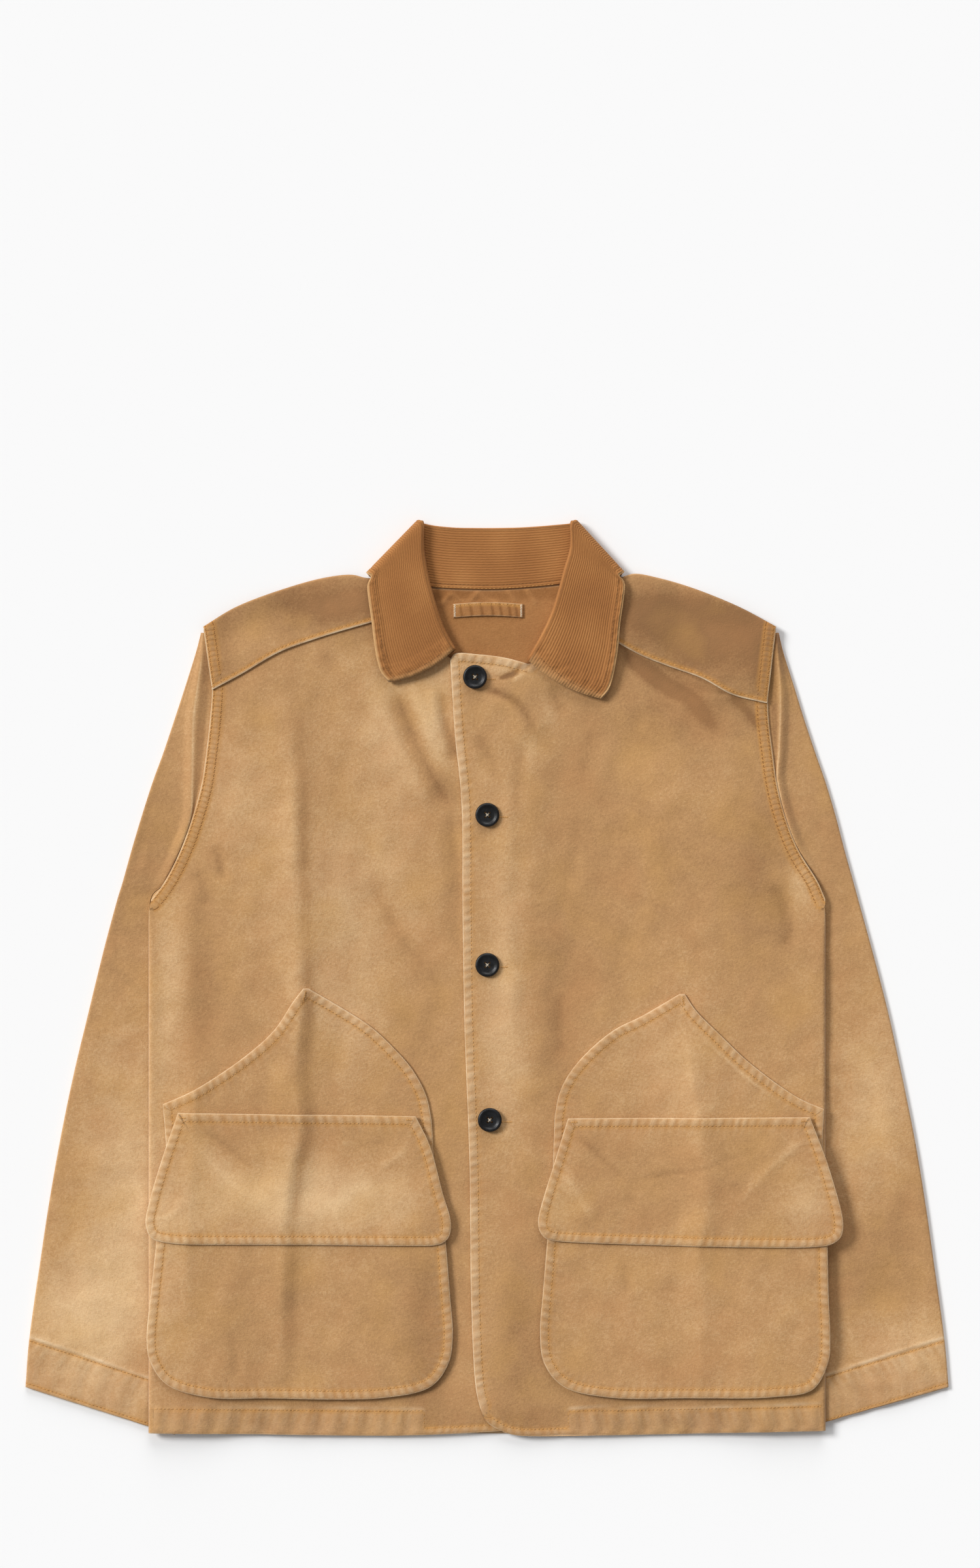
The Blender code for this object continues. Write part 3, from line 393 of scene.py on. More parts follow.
def swell(x, y, size, seed):       # low uneven waves of the cloth, alike in every run
    dice = np.random.default_rng(seed)
    total = np.zeros(np.shape(x))
    for _ in range(7):
        turn, shift, stretch = [dice.uniform(*reach) for reach in (
            (0, math.tau), (0, math.tau), (0.7, 1.8))]
        total += np.sin((x * math.cos(turn) + y * math.sin(turn)) * math.tau / (size * stretch)
                        + shift)
    return total / 3.0


def column(index, y):
    return np.interp(y, armRows[::-1, 0], armRows[::-1, index])


def innerFold(y):
    armpit, cuff = innerFoldAt["armpit"], innerFoldAt["cuff"]
    above = y - body["armpit"]
    upper = armpit + lies["foldLean"] * np.clip(above / lies["foldTop"], 0.0, 1.0) ** 1.5
    lower = armpit + (cuff - armpit) * np.clip(-above / lies["foldRun"], 0.0, 1.0)
    return np.where(above > 0.0, upper, lower)


def bodyEdge(x, y):
    armhole = np.abs(np.where(x < 0, column(1, y), column(2, y)))
    return np.where(y < body["armpit"], body["side"], armhole) - np.abs(x)


def backLow(x, y):
    fold = innerFold(y) - lies["sleeveIn"]
    sleeve = body["sleeveLift"] * ease(np.abs(x), fold - body["ramp"], fold)
    collar = (body["collarLift"] * ease(y, *lies["collarRamp"])
              * ease(-np.abs(x - body["neckCentre"]), *lies["collarSides"]))
    return np.maximum(sleeve, collar)


def foldHeight(x, y):
    total = np.zeros(np.shape(x))
    for x0, y0, x1, y1, half, height in largeFolds:
        runX, runY = x1 - x0, y1 - y0
        share = ((x - x0) * runX + (y - y0) * runY) / (runX ** 2 + runY ** 2)
        held = np.clip(share, 0.0, 1.0)
        away = np.hypot(x - x0 - runX * held, y - y0 - runY * held)
        total = total + (height * ease(share, -0.15, 0.2) * ease(-share, -1.15, -0.8)
                         * ease(-away, -half, 0.0))
    return total


def fadeEnds(path, along):       # a crease dies away over a fifth of its length at each end
    reach = lengths(path)[-1]
    return ease(along, 0.0, 0.2 * reach) * ease(-along, -reach, -0.8 * reach)


creasePaths = [smoothThrough(row[4], 5) for row in creases]


def creased(x, y):        # height and dye of the creases, the dye in a trough partly painted shade
    x, y = np.asarray(x, float), np.asarray(y, float)
    height = np.array(0.4 * swell(x, y, 70.0, 3) + 0.2 * swell(x, y, 26.0, 8))
    dyeAndShade = np.zeros(x.shape)
    for (halfLeft, halfRight, rise, tintAndShade, _), path in zip(creases, creasePaths):
        wide = max(halfLeft, halfRight)
        low, high = path.min(axis=0) - wide, path.max(axis=0) + wide
        held = (x > low[0]) & (x < high[0]) & (y > low[1]) & (y < high[1])
        if not held.any():
            continue
        away, along, side = nearPath(path, x[held], y[held])
        half = np.where(side > 0, halfLeft, halfRight)
        uneven = 0.8 + 0.25 * np.sin(along / 21.0 + rise * 9.0)
        share = uneven * fadeEnds(path, along) * np.clip(1 - away / half, 0.0, 1.0) ** 1.6
        height[held] += rise * share
        dyeAndShade[held] += tintAndShade * share
    return height, dyeAndShade


def layerStep(air):       # from the underside of one layer to that of the next
    return cloth["wall"] + cloth["clear"] + air


def frontLow(x, y):       # underside of a front
    bendsAt, top = lies["shoulder"]
    shoulderLine = top - np.maximum(0.0, np.abs(x) - bendsAt) * lies["shoulderFall"]
    shoulderShare = ease(shoulderLine - y, *lies["shoulderRamp"])
    inside = ease(bodyEdge(x, y), *lies["foldRamp"]) * shoulderShare
    side = ease(body["armpit"] - y, *lies["sideRamp"])
    gap = body["seamGap"] + (body["gap"] - body["seamGap"]) * np.maximum(inside, side)
    near = ease(bodyEdge(x, y), *lies["creaseRamp"]) * shoulderShare
    rise = foldHeight(x, y) * inside + creased(x, y)[0] * near
    return backLow(x, y) + cloth["wall"] + gap + np.maximum(rise, lies["least"] - gap)


def overLow(x, y):        # underside of the left front, which laps over the right one
    return frontLow(x, y) + layerStep(body["lapAir"]) * ease(-x, *lies["lapRamp"])


# ---- sewing: what a seam does to the cloth beside it
# rows: stitch rows in from the edge, past: reach of the puckers beyond the last row,
# swell: how far the doubled edge stands up, pucker: their strength, worn: how pale its fold
# has washed, band: how pale the band, fine: -1 where the puckers are close together,
# ripple: waves of the band, lip and lipPale: ridge of the turned-up edge, roll: rolled edge
seamKinds = {
    "pocket": {"rows": (7.0,), "past": 13.0, "swell": 0.3, "pucker": 1.0, "worn": 0.7},
    "front": {"rows": (7.0,), "past": 8.0, "swell": 0.3, "pucker": 1.2, "worn": 0.9,
              "band": 0.3},
    "armhole": {"rows": (1.9, 8.8), "past": 3.0, "swell": 0.3, "pucker": 1.3, "worn": 0.9,
                "band": 0.0, "fine": -1.0},
    "hem": {"rows": (20.5,), "past": 8.0, "swell": 0.2, "pucker": 0.4, "worn": 0.6,
            "ripple": 0.9, "lip": 22.6, "lipPale": 0.55},
    "facing": {"rows": (5.5,), "past": 8.0, "swell": 0.25, "pucker": 0.8, "worn": 0.6},
    "yoke": {"rows": (2.6,), "past": 9.0, "swell": 0.2, "pucker": 0.5, "worn": 1.3,
             "band": 0.0, "roll": 0.25},
    "plain": {"rows": (), "worn": 0.3, "reach": 3.0},
    "cuff": {"rows": (3.4, 38.0), "past": 8.0, "swell": 0.2, "pucker": 0.5, "worn": 0.8,
             "ripple": 0.6, "lip": 40.8, "lipPale": 0.8},
    "loop": {"rows": (1.6,), "past": 10.0, "swell": 0.12, "pucker": 0.4, "worn": 0.5},
}
# depth and half width of the groove under a row, of the dip at the very edge, of the lip
sewnLook = {"groove": (0.2, 1.2), "dip": (0.25, 1.2), "lip": (0.45, 1.3), "tint": 1.5,
            "blank": 99.0}


def bump(value, centre, width):
    return np.exp(-((value - centre) / width) ** 2)


def sew(x, y, seams):
    # seams: (kind, path). Gives height, the seam's own coordinates, and its wear
    best, second = np.full(x.shape, 1e9), np.full(x.shape, 1e9)
    height = np.zeros(x.shape)
    seam = np.zeros(x.shape + (3,))
    worn, ochre = np.zeros(x.shape), np.zeros(x.shape)
    for kind, path in seams:
        style = seamKinds[kind]
        away, along, _ = nearPath(path, x, y)
        if "reach" in style:      # an edge without a row reaches no further than its fold
            away = np.where(away > style["reach"], 1e9, away)
        closer = away < best
        second = np.where(closer, best, np.minimum(second, away))
        best = np.where(closer, away, best)
        rise = -sewnLook["dip"][0] * (1 - ease(away, 0.0, sewnLook["dip"][1]))
        if "roll" in style:
            rise = 0.3 * rise + style["roll"] * bump(away, 0.8, 0.6)
        tint, pale, band = np.zeros(x.shape), np.zeros(x.shape), np.zeros(x.shape)
        gap = np.full(x.shape, sewnLook["blank"])
        for turn, row in enumerate(style["rows"]):      # every other row counts the other way
            rise = rise - sewnLook["groove"][0] * bump(away, row, sewnLook["groove"][1])
            tint = np.maximum(tint, bump(away, row, sewnLook["tint"]))
            gap = np.where(np.abs(away - row) < np.abs(gap), (away - row) * (-1) ** turn, gap)
        if style["rows"]:
            last = style["rows"][-1]
            rise = rise + (style["swell"] * ease(away, 0.0, 2.4)
                           * (1 - ease(away, last - 1.4, last + 0.8)))
            near = ease(away, 0.2, 1.6) * (1 - ease(away, last + 0.2, last + style["past"]))
            inBand = 1 - ease(away, last - 0.5, last + 1.5)
            reach = np.where(away > last - 9.0, 1.0, 0.35)
            band = (style["pucker"] * near * (0.3 + 0.7 * inBand) * reach
                    * style.get("fine", 1.0))
            tint = 0.85 * tint + 0.12 * inBand * near * reach
            pale = np.maximum(pale, style.get("band", 0.12) * inBand * near)
            ripple = np.sin(along / 3.1 + 2.2 * np.sin(along / 41.0))
            rise = rise + style.get("ripple", 0.0) * inBand * ripple * ease(away, 0.0, 4.0)
        if "lip" in style:         # the turned-up edge shows through as a pale ridge
            lip = bump(away, style["lip"] + 0.8 * np.sin(along / 23.0), sewnLook["lip"][1])
            rise = rise + sewnLook["lip"][0] * lip
            pale = np.maximum(pale, style["lipPale"] * lip * (0.75 + 0.25 * np.sin(along / 9.0)))
        height = np.where(closer, rise, height)
        seam = np.where(closer[..., None], np.stack([along, gap, band], axis=-1), seam)
        fold = style["worn"] * (1 - ease(away, 0.3, 1.2))
        worn = np.where(closer, np.maximum(fold, pale), worn)
        ochre = np.where(closer, tint, ochre)
    alone = ease(second - best, 0.4, 4.0)       # nothing puckers where two seams meet
    seam[..., 1] += np.where(seam[..., 1] < 0, -9.0, 9.0) * (1 - alone)
    seam[..., 2] *= alone
    return height, seam, worn, ochre


# where years of washing have paled or kept the dye, and where shade is painted on the yoke and at
# the armholes; x, y, radius x, radius y, amount
fadeAndShadeSpots = (
    (-70.0, 215.0, 34.0, 60.0, 0.4), (-42.0, 225.0, 12.0, 40.0, 0.3),
    (-120.0, 60.0, 60.0, 120.0, 0.25), (-215.0, 150.0, 40.0, 60.0, 0.2),
    (-268.0, 20.0, 14.0, 80.0, 0.3), (-238.0, -10.0, 14.0, 70.0, -0.25),
    (-120.0, -30.0, 40.0, 30.0, 0.15), (52.0, 222.0, 9.0, 16.0, 0.35),
    (36.0, 190.0, 8.0, 14.0, 0.3),
    (10.0, 262.0, 40.0, 8.0, 0.4), (170.0, 190.0, 80.0, 50.0, 0.15),
    (110.0, 110.0, 60.0, 80.0, -0.15), (230.0, 110.0, 30.0, 90.0, -0.3),
    (262.0, 76.0, 12.0, 22.0, 0.5), (270.0, 0.0, 14.0, 60.0, 0.1),
    (15.0, -20.0, 20.0, 140.0, 0.35), (60.0, -10.0, 30.0, 60.0, -0.15),
    (-50.0, -320.0, 18.0, 90.0, -0.35), (28.0, -300.0, 16.0, 110.0, -0.3),
    (-60.0, -60.0, 26.0, 60.0, -0.2), (60.0, -70.0, 16.0, 40.0, -0.2),
    # painted shade: the spots at 190, 300, at 130, 310 and at -120, 315 darken the yoke where it
    # slopes up to the shoulder folds, those at -225, 280 and 232, 270 the ends of the yoke at the
    # armholes
    (-250.0, 262.0, 40.0, 30.0, 0.05), (190.0, 300.0, 70.0, 26.0, -0.85),
    (130.0, 310.0, 50.0, 20.0, -0.5), (-120.0, 315.0, 80.0, 22.0, -0.85),
    (-225.0, 280.0, 14.0, 40.0, -0.4), (232.0, 270.0, 14.0, 40.0, -0.5),
    (-300.0, -190.0, 40.0, 120.0, 0.5), (-345.0, -290.0, 40.0, 60.0, 0.5),
    (-290.0, 150.0, 40.0, 110.0, -0.25), (-315.0, 20.0, 30.0, 40.0, -0.1),
    (333.0, -120.0, 34.0, 70.0, 0.35), (350.0, -200.0, 26.0, 40.0, -0.2),
    (350.0, -305.0, 50.0, 30.0, 0.35), (320.0, -250.0, 30.0, 50.0, -0.25),
    # painted shade: the spot at 178, 268 darkens the yoke
    (165.0, 222.0, 60.0, 34.0, -0.45), (178.0, 268.0, 50.0, 22.0, -0.45),
    (296.0, 150.0, 30.0, 90.0, -0.1),
    (-150.0, -185.0, 70.0, 32.0, 0.6), (-235.0, -190.0, 24.0, 20.0, 0.2),
    (-70.0, -190.0, 24.0, 24.0, 0.2), (-200.0, -120.0, 60.0, 16.0, -0.1),
    (60.0, -190.0, 14.0, 30.0, 0.25), (270.0, -190.0, 22.0, 26.0, 0.3),
    (170.0, -160.0, 60.0, 30.0, -0.1), (-100.0, -60.0, 50.0, 30.0, 0.1),
    (160.0, -80.0, 70.0, 40.0, 0.15),
    (-250.0, -372.0, 60.0, 14.0, -0.2), (170.0, -372.0, 110.0, 14.0, -0.35),
    (-150.0, -372.0, 60.0, 14.0, -0.2), (0.0, -375.0, 50.0, 12.0, -0.3),
)


def fadedAndShaded(x, y):
    total = creased(x, y)[1]
    for x0, y0, wide, tall, amount in fadeAndShadeSpots:
        total += amount * bump(x, x0, wide) * bump(y, y0, tall)
    return total


# ---- materials
def linear(code):
    values = [int(code[k:k + 2], 16) / 255 for k in (1, 3, 5)]
    return [v / 12.92 if v <= 0.04045 else ((v + 0.055) / 1.055) ** 2.4 for v in values] + [1.0]


def join(node, links):
    # links are by socket, and a node as a source stands for its output
    for socket, source in links.items():
        if hasattr(source, "outputs"):
            source = next(output for output in source.outputs if output.enabled)
        node.id_data.links.new(source, node.inputs[socket])


def addNode(tree, kind, values=None, links=None, stops=(), **settings):
    # values are by socket, stops are the places and colours of a ramp
    node = tree.nodes.new("ShaderNode" + kind)
    for key, value in settings.items():
        setattr(node, key, value)
    for socket, value in (values or {}).items():
        node.inputs[socket].default_value = value
    join(node, links or {})
    for k, (position, code) in enumerate(stops):      # a new ramp has two stops already
        stop = node.color_ramp.elements[k] if k < 2 else node.color_ramp.elements.new(position)
        stop.position, stop.color = position, linear(code)
    return node


def newFinish(name, settings):
    made = bpy.data.materials.new(name)
    made.use_nodes = True
    shader = made.node_tree.nodes["Principled BSDF"]
    for socket, value in settings.items():
        shader.inputs[socket].default_value = value
    return made, made.node_tree, shader


# Cotton duck, garment dyed and stone washed: matt, ochre in each seam, and paler on each ridge
# and darker in each valley, partly washed and partly painted highlight and shade.
# The weave is 0.45 mm a thread; its slubs are drawn 0.6 mm thick and 2.5 mm long to show.
canvasLook = {
    "deep": "#8f6740", "tan": "#bb8f5f", "pale": "#e2bd8e",
    "rose": "#b57f50", "straw": "#cb9b55", "ochre": "#c1873d", "edge": "#efd9b6",
    "valley": "#a9743c", "hole": "#8a5a2c", "puckerPitch": 7.9, "finePitch": 4.4,
    "stitchPitch": 3.3, "blotch": 9.0, "mottle": 70.0, "grain": 430.0, "warmth": 19.0,
    "weft": (400.0, 1650.0, 400.0), "warp": (1650.0, 380.0, 380.0),
    "shader": {"Roughness": 0.93, "Specular IOR Level": 0.25, "Sheen Weight": 0.12,
               "Sheen Roughness": 0.6},
}


def makeCanvas(name, look):
    made, tree, shader = newFinish(name, look["shader"])
    place = addNode(tree, "TexCoord").outputs
    marks = [addNode(tree, "Attribute", attribute_name=key) for key in ("seam", "fadeAndShade")]
    (along, gap, band), (worn, ochre, tone) = [
        addNode(tree, "SeparateXYZ", links={0: mark.outputs["Vector"]}).outputs
        for mark in marks]
    blotch, mottle, grain = [
        addNode(tree, "TexNoise", {"Scale": look[key], "Detail": detail, "Roughness": rough},
                {"Vector": place["Object"]})
        for key, detail, rough in (("blotch", 3.0, 0.55), ("mottle", 5.0, 0.6),
                                   ("grain", 3.0, 0.7))]
    threads = []
    for key in ("weft", "warp"):
        stretched = addNode(tree, "Mapping", {"Scale": look[key]}, {"Vector": place["UV"]})
        threads.append(addNode(tree, "TexNoise", {"Scale": 1.0, "Detail": 1.0},
                               {"Vector": stretched}))
    slub = addNode(tree, "Math", {}, dict(enumerate(threads)), operation="ADD")

    # puckers cross the band, their spacing and their strength drift along the seam
    drift, uneven = [addNode(tree, "TexNoise", {"Scale": scale, "Detail": 1.0}, {"W": along},
                             noise_dimensions="1D") for scale in (0.022, 0.07)]
    fine = addNode(tree, "Math", {1: 0.0}, {0: band}, operation="LESS_THAN")
    rate = addNode(tree, "MapRange", {"To Min": math.tau / look["puckerPitch"],
                                      "To Max": math.tau / look["finePitch"]}, {0: fine})
    turns = addNode(tree, "Math", {}, {0: along, 1: rate}, operation="MULTIPLY")
    slant = addNode(tree, "Math", {1: 0.22}, {0: gap, 2: turns}, operation="MULTIPLY_ADD")
    phase = addNode(tree, "Math", {1: 9.0}, {0: drift, 2: slant}, operation="MULTIPLY_ADD")
    wave = addNode(tree, "Math", {}, {0: phase}, operation="SINE")
    ridge = addNode(tree, "MapRange", {"From Min": -1.0, "From Max": 0.9}, {0: wave})
    narrow = addNode(tree, "MapRange", {"To Min": 1.0, "To Max": 0.4}, {0: fine})
    ridge = addNode(tree, "Math", {}, {0: ridge, 1: narrow}, operation="POWER")
    strong = addNode(tree, "MapRange", {"From Min": 0.3, "From Max": 0.6, "To Min": 0.4,
                                        "To Max": 1.1}, {0: uneven})
    band = addNode(tree, "Math", {}, {0: band}, operation="ABSOLUTE")
    band = addNode(tree, "Math", {}, {0: strong, 1: band}, operation="MULTIPLY")
    pucker = addNode(tree, "Math", {}, {0: ridge, 1: band}, operation="MULTIPLY")
    valleyDyeAndShade = addNode(tree, "Math", {}, {0: band, 1: pucker}, operation="SUBTRACT")
    crest = addNode(tree, "MapRange", {"To Min": 1.0, "To Max": 0.15}, {0: fine})
    crest = addNode(tree, "Math", {}, {0: pucker, 1: crest}, operation="MULTIPLY")

    # needle holes: a dot of painted shade each stitch, where the seam's own coordinates say
    lane = addNode(tree, "Math", {}, {0: gap}, operation="ABSOLUTE")
    inLane = addNode(tree, "MapRange", {"From Min": 0.6, "From Max": 0.2}, {0: lane})
    beat = addNode(tree, "Math", {1: math.tau / look["stitchPitch"]}, {0: along},
                   operation="MULTIPLY")
    dots = addNode(tree, "Math", {}, {0: beat}, operation="COSINE")
    inDot = addNode(tree, "MapRange", {"From Min": 0.35, "From Max": 0.8}, {0: dots})
    hole = addNode(tree, "Math", {}, {0: inLane, 1: inDot}, operation="MULTIPLY")
    pierced = addNode(tree, "Math", {1: 0.8}, {0: fine, 2: hole}, operation="MULTIPLY_ADD")
    pierced = addNode(tree, "Math", {}, {0: hole, 1: pierced}, operation="MULTIPLY")

    # how far each patch of the dye has washed out, with the painted shade that the tone brings
    # from creases and shaded spots
    washAndShade = tone
    for source, share in ((blotch, 0.46), (mottle, 0.45), (grain, 0.75), (slub, 0.3)):
        washAndShade = addNode(tree, "Math", {1: share}, {0: source, 2: washAndShade}, operation="MULTIPLY_ADD")
    washAndShade = addNode(tree, "MapRange", {"From Min": 0.46, "From Max": 1.86}, {0: washAndShade})
    colour = addNode(tree, "ValToRGB", links={0: washAndShade}, stops=(
        (0.0, look["deep"]), (1.0, look["pale"]), (0.5, look["tan"])))
    warm = addNode(tree, "TexNoise", {"Scale": look["warmth"], "Detail": 3.0},
                   {"Vector": place["Object"]})
    rose = addNode(tree, "MapRange", {"From Min": 0.5, "From Max": 0.7, "To Max": 0.3},
                   {0: warm})
    straw = addNode(tree, "MapRange", {"From Min": 0.5, "From Max": 0.3, "To Max": 0.22},
                    {0: warm})
    patchy = addNode(tree, "MapRange", {"From Min": 0.3, "From Max": 0.6, "To Min": 0.35},
                     {0: mottle})
    worn = addNode(tree, "Math", {}, {0: worn, 1: patchy}, operation="MULTIPLY")
    # the pucker valleys are painted darker and their crests paler, partly wash wear and partly
    # painted shade and highlight
    for target, share, most in (("rose", rose, 1.0), ("straw", straw, 1.0),
                                ("ochre", ochre, 0.75), ("valley", valleyDyeAndShade, 0.38),
                                ("edge", crest, 0.13), ("edge", worn, 0.6),
                                ("hole", pierced, 0.55)):
        amount = addNode(tree, "Math", {1: most}, {0: share}, operation="MULTIPLY",
                         use_clamp=True)
        colour = addNode(tree, "Mix", {"B": linear(look[target])},
                         {"Factor": amount, "A": colour}, data_type="RGBA")

    # relief in millimetres
    relief = addNode(tree, "Math", {1: 0.16}, {0: pucker}, operation="MULTIPLY")
    for source, height in ((mottle, 0.45), (grain, 0.22), (slub, 0.13), (hole, -0.14)):
        relief = addNode(tree, "Math", {1: height}, {0: source, 2: relief},
                         operation="MULTIPLY_ADD")
    bent = addNode(tree, "Bump", {"Strength": 1.0, "Distance": mm}, {"Height": relief})
    join(shader, {"Base Color": colour, "Normal": bent})
    return made


# Cotton corduroy, 11 wales to the inch: a soft pile, pale along each ridge and dark in the
# grooves, partly worn pile and partly painted highlight and shade, brushed unevenly by wear. The
# wale attribute counts the ridges.
corduroyLook = {
    "groove": "#875731", "pile": "#a46d3c", "tip": "#bb8550", "edge": "#d8ad78",
    "hole": "#5a3517", "patch": 30.0, "streak": (260.0, 900.0, 260.0), "knot": 125.0,
    "shader": {"Roughness": 0.9, "Specular IOR Level": 0.2, "Sheen Weight": 0.35,
               "Sheen Roughness": 0.5, "Sheen Tint": linear("#e0b080")},
}


def makeCorduroy(name, look):
    made, tree, shader = newFinish(name, look["shader"])
    place = addNode(tree, "TexCoord").outputs
    wale, seam, fadeAndShade = [addNode(tree, "Attribute", attribute_name=key).outputs
                        for key in ("wale", "seam", "fadeAndShade")]
    band = addNode(tree, "SeparateXYZ", links={0: seam["Vector"]}).outputs[2]
    worn, ochre, tone = addNode(tree, "SeparateXYZ", links={0: fadeAndShade["Vector"]}).outputs
    patchy = addNode(tree, "TexNoise", {"Scale": look["patch"], "Detail": 4.0,
                                        "Roughness": 0.6}, {"Vector": place["Object"]})
    streak = addNode(tree, "Mapping", {"Scale": look["streak"]}, {"Vector": place["UV"]})
    pile = addNode(tree, "TexNoise", {"Scale": 1.0, "Detail": 3.0, "Roughness": 0.7},
                   {"Vector": streak})
    turns = addNode(tree, "Math", {1: math.tau}, {0: wale["Fac"]}, operation="MULTIPLY")
    wobble = addNode(tree, "Math", {1: 2.1}, {0: pile, 2: turns}, operation="MULTIPLY_ADD")
    wave = addNode(tree, "Math", {}, {0: wobble}, operation="COSINE")
    ridge = addNode(tree, "MapRange", {"From Min": -0.8, "From Max": 1.0}, {0: wave})
    # the wale's ridge is painted pale and its groove dark, partly the pile's wear and partly
    # painted highlight and shade
    washAndShade = tone
    for source, share in ((ridge, 0.4), (pile, 0.35), (patchy, 0.5)):
        washAndShade = addNode(tree, "Math", {1: share}, {0: source, 2: washAndShade}, operation="MULTIPLY_ADD")
    washAndShade = addNode(tree, "MapRange", {"From Min": 0.1, "From Max": 1.15}, {0: washAndShade})
    colour = addNode(tree, "ValToRGB", links={0: washAndShade}, stops=(
        (0.0, look["groove"]), (1.0, look["tip"]), (0.55, look["pile"])))
    for target, share, most in (("hole", ochre, 0.28), ("edge", worn, 0.8)):
        amount = addNode(tree, "Math", {1: most}, {0: share}, operation="MULTIPLY",
                         use_clamp=True)
        colour = addNode(tree, "Mix", {"B": linear(look[target])},
                         {"Factor": amount, "A": colour}, data_type="RGBA")
    knots = addNode(tree, "TexNoise", {"Scale": look["knot"], "Detail": 1.0},
                    {"Vector": place["Object"]})
    puckers = addNode(tree, "Math", {}, {0: knots, 1: band}, operation="MULTIPLY")
    relief = addNode(tree, "Math", {1: 0.14}, {0: ridge}, operation="MULTIPLY")
    for source, height in ((pile, 0.4), (puckers, 2.2)):
        relief = addNode(tree, "Math", {1: height}, {0: source, 2: relief},
                         operation="MULTIPLY_ADD")
    bent = addNode(tree, "Bump", {"Strength": 1.0, "Distance": mm}, {"Height": relief})
    join(shader, {"Base Color": colour, "Normal": bent})
    return made


# Spun polyester-cotton sewing thread, golden tan: a faint silk gloss on the twist.
threadLook = {"dark": "#a8722f", "light": "#dba75e", "shader": {"Roughness": 0.6}}
paleThreadLook = {"dark": "#c9b393", "light": "#f0e4cf", "shader": {"Roughness": 0.6}}
brownThreadLook = {"dark": "#70451f", "light": "#9c6c38", "shader": {"Roughness": 0.7}}


def makeThread(name, look):
    made, tree, shader = newFinish(name, look["shader"])
    place = addNode(tree, "TexCoord").outputs
    twist = addNode(tree, "TexNoise", {"Scale": 900.0, "Detail": 2.0},
                    {"Vector": place["Object"]})
    tint = addNode(tree, "ValToRGB", links={0: twist},
                   stops=((0.35, look["dark"]), (0.65, look["light"])))
    join(shader, {"Base Color": tint})
    return made


# Dark resin made like horn, turned and worn satin, with pale scuffs: soft highlights.
hornLook = {"black": "#0c0c0d", "grey": "#202124", "scuff": "#5c5e64",
            "shader": {"IOR": 1.54, "Specular IOR Level": 0.28}}


def makeHorn(name, look):
    made, tree, shader = newFinish(name, look["shader"])
    place = addNode(tree, "TexCoord").outputs
    cloud = addNode(tree, "TexNoise", {"Scale": 160.0, "Detail": 4.0},
                    {"Vector": place["Object"]})
    scratch = addNode(tree, "TexNoise", {"Scale": 900.0, "Detail": 5.0, "Roughness": 0.75},
                      {"Vector": place["Object"]})
    tint = addNode(tree, "ValToRGB", links={0: cloud},
                   stops=((0.4, look["black"]), (0.75, look["grey"])))
    scuffed = addNode(tree, "MapRange", {"From Min": 0.62, "From Max": 0.75, "To Max": 0.6},
                      {0: scratch})
    colour = addNode(tree, "Mix", {"B": linear(look["scuff"])}, {"Factor": scuffed, "A": tint},
                     data_type="RGBA")
    dull = addNode(tree, "MapRange", {"From Min": 0.35, "From Max": 0.75, "To Min": 0.3,
                                      "To Max": 0.6}, {0: scratch})
    bent = addNode(tree, "Bump", {"Strength": 0.3, "Distance": 0.2 * mm}, {"Height": scratch})
    join(shader, {"Base Color": colour, "Roughness": dull, "Normal": bent})
    return made


insideLook = dict(canvasLook, deep="#8b5a2c", tan="#ab7644", pale="#bf8c58", rose="#a06c3e",
                  straw="#ab7a42")
underLook = dict(canvasLook, deep="#c09a6c", tan="#d6b48a", pale="#ead0a8", rose="#d6b48a",
                 straw="#d8b684")
finishes = {name: make(name, look) for name, make, look in (
    ("washedDuckCanvas", makeCanvas, canvasLook), ("duckCanvasInside", makeCanvas, insideLook),
    ("paleCottonTwill", makeCanvas, underLook), ("brushedCorduroy", makeCorduroy, corduroyLook),
    ("goldenThread", makeThread, threadLook), ("paleThread", makeThread, paleThreadLook),
    ("brownThread", makeThread, brownThreadLook), ("satinHorn", makeHorn, hornLook))}
print("materials made")


# ---- cloth pieces
def addObject(name, data):
    made = bpy.data.objects.new(name, data)
    bpy.context.scene.collection.objects.link(made)
    return made


def addMesh(name, data, *wears):
    mesh = bpy.data.meshes.new(name)
    data.to_mesh(mesh)
    data.free()
    for finish in wears:
        mesh.materials.append(finishes[finish])
    mesh.shade_smooth()
    return addObject(name, mesh)


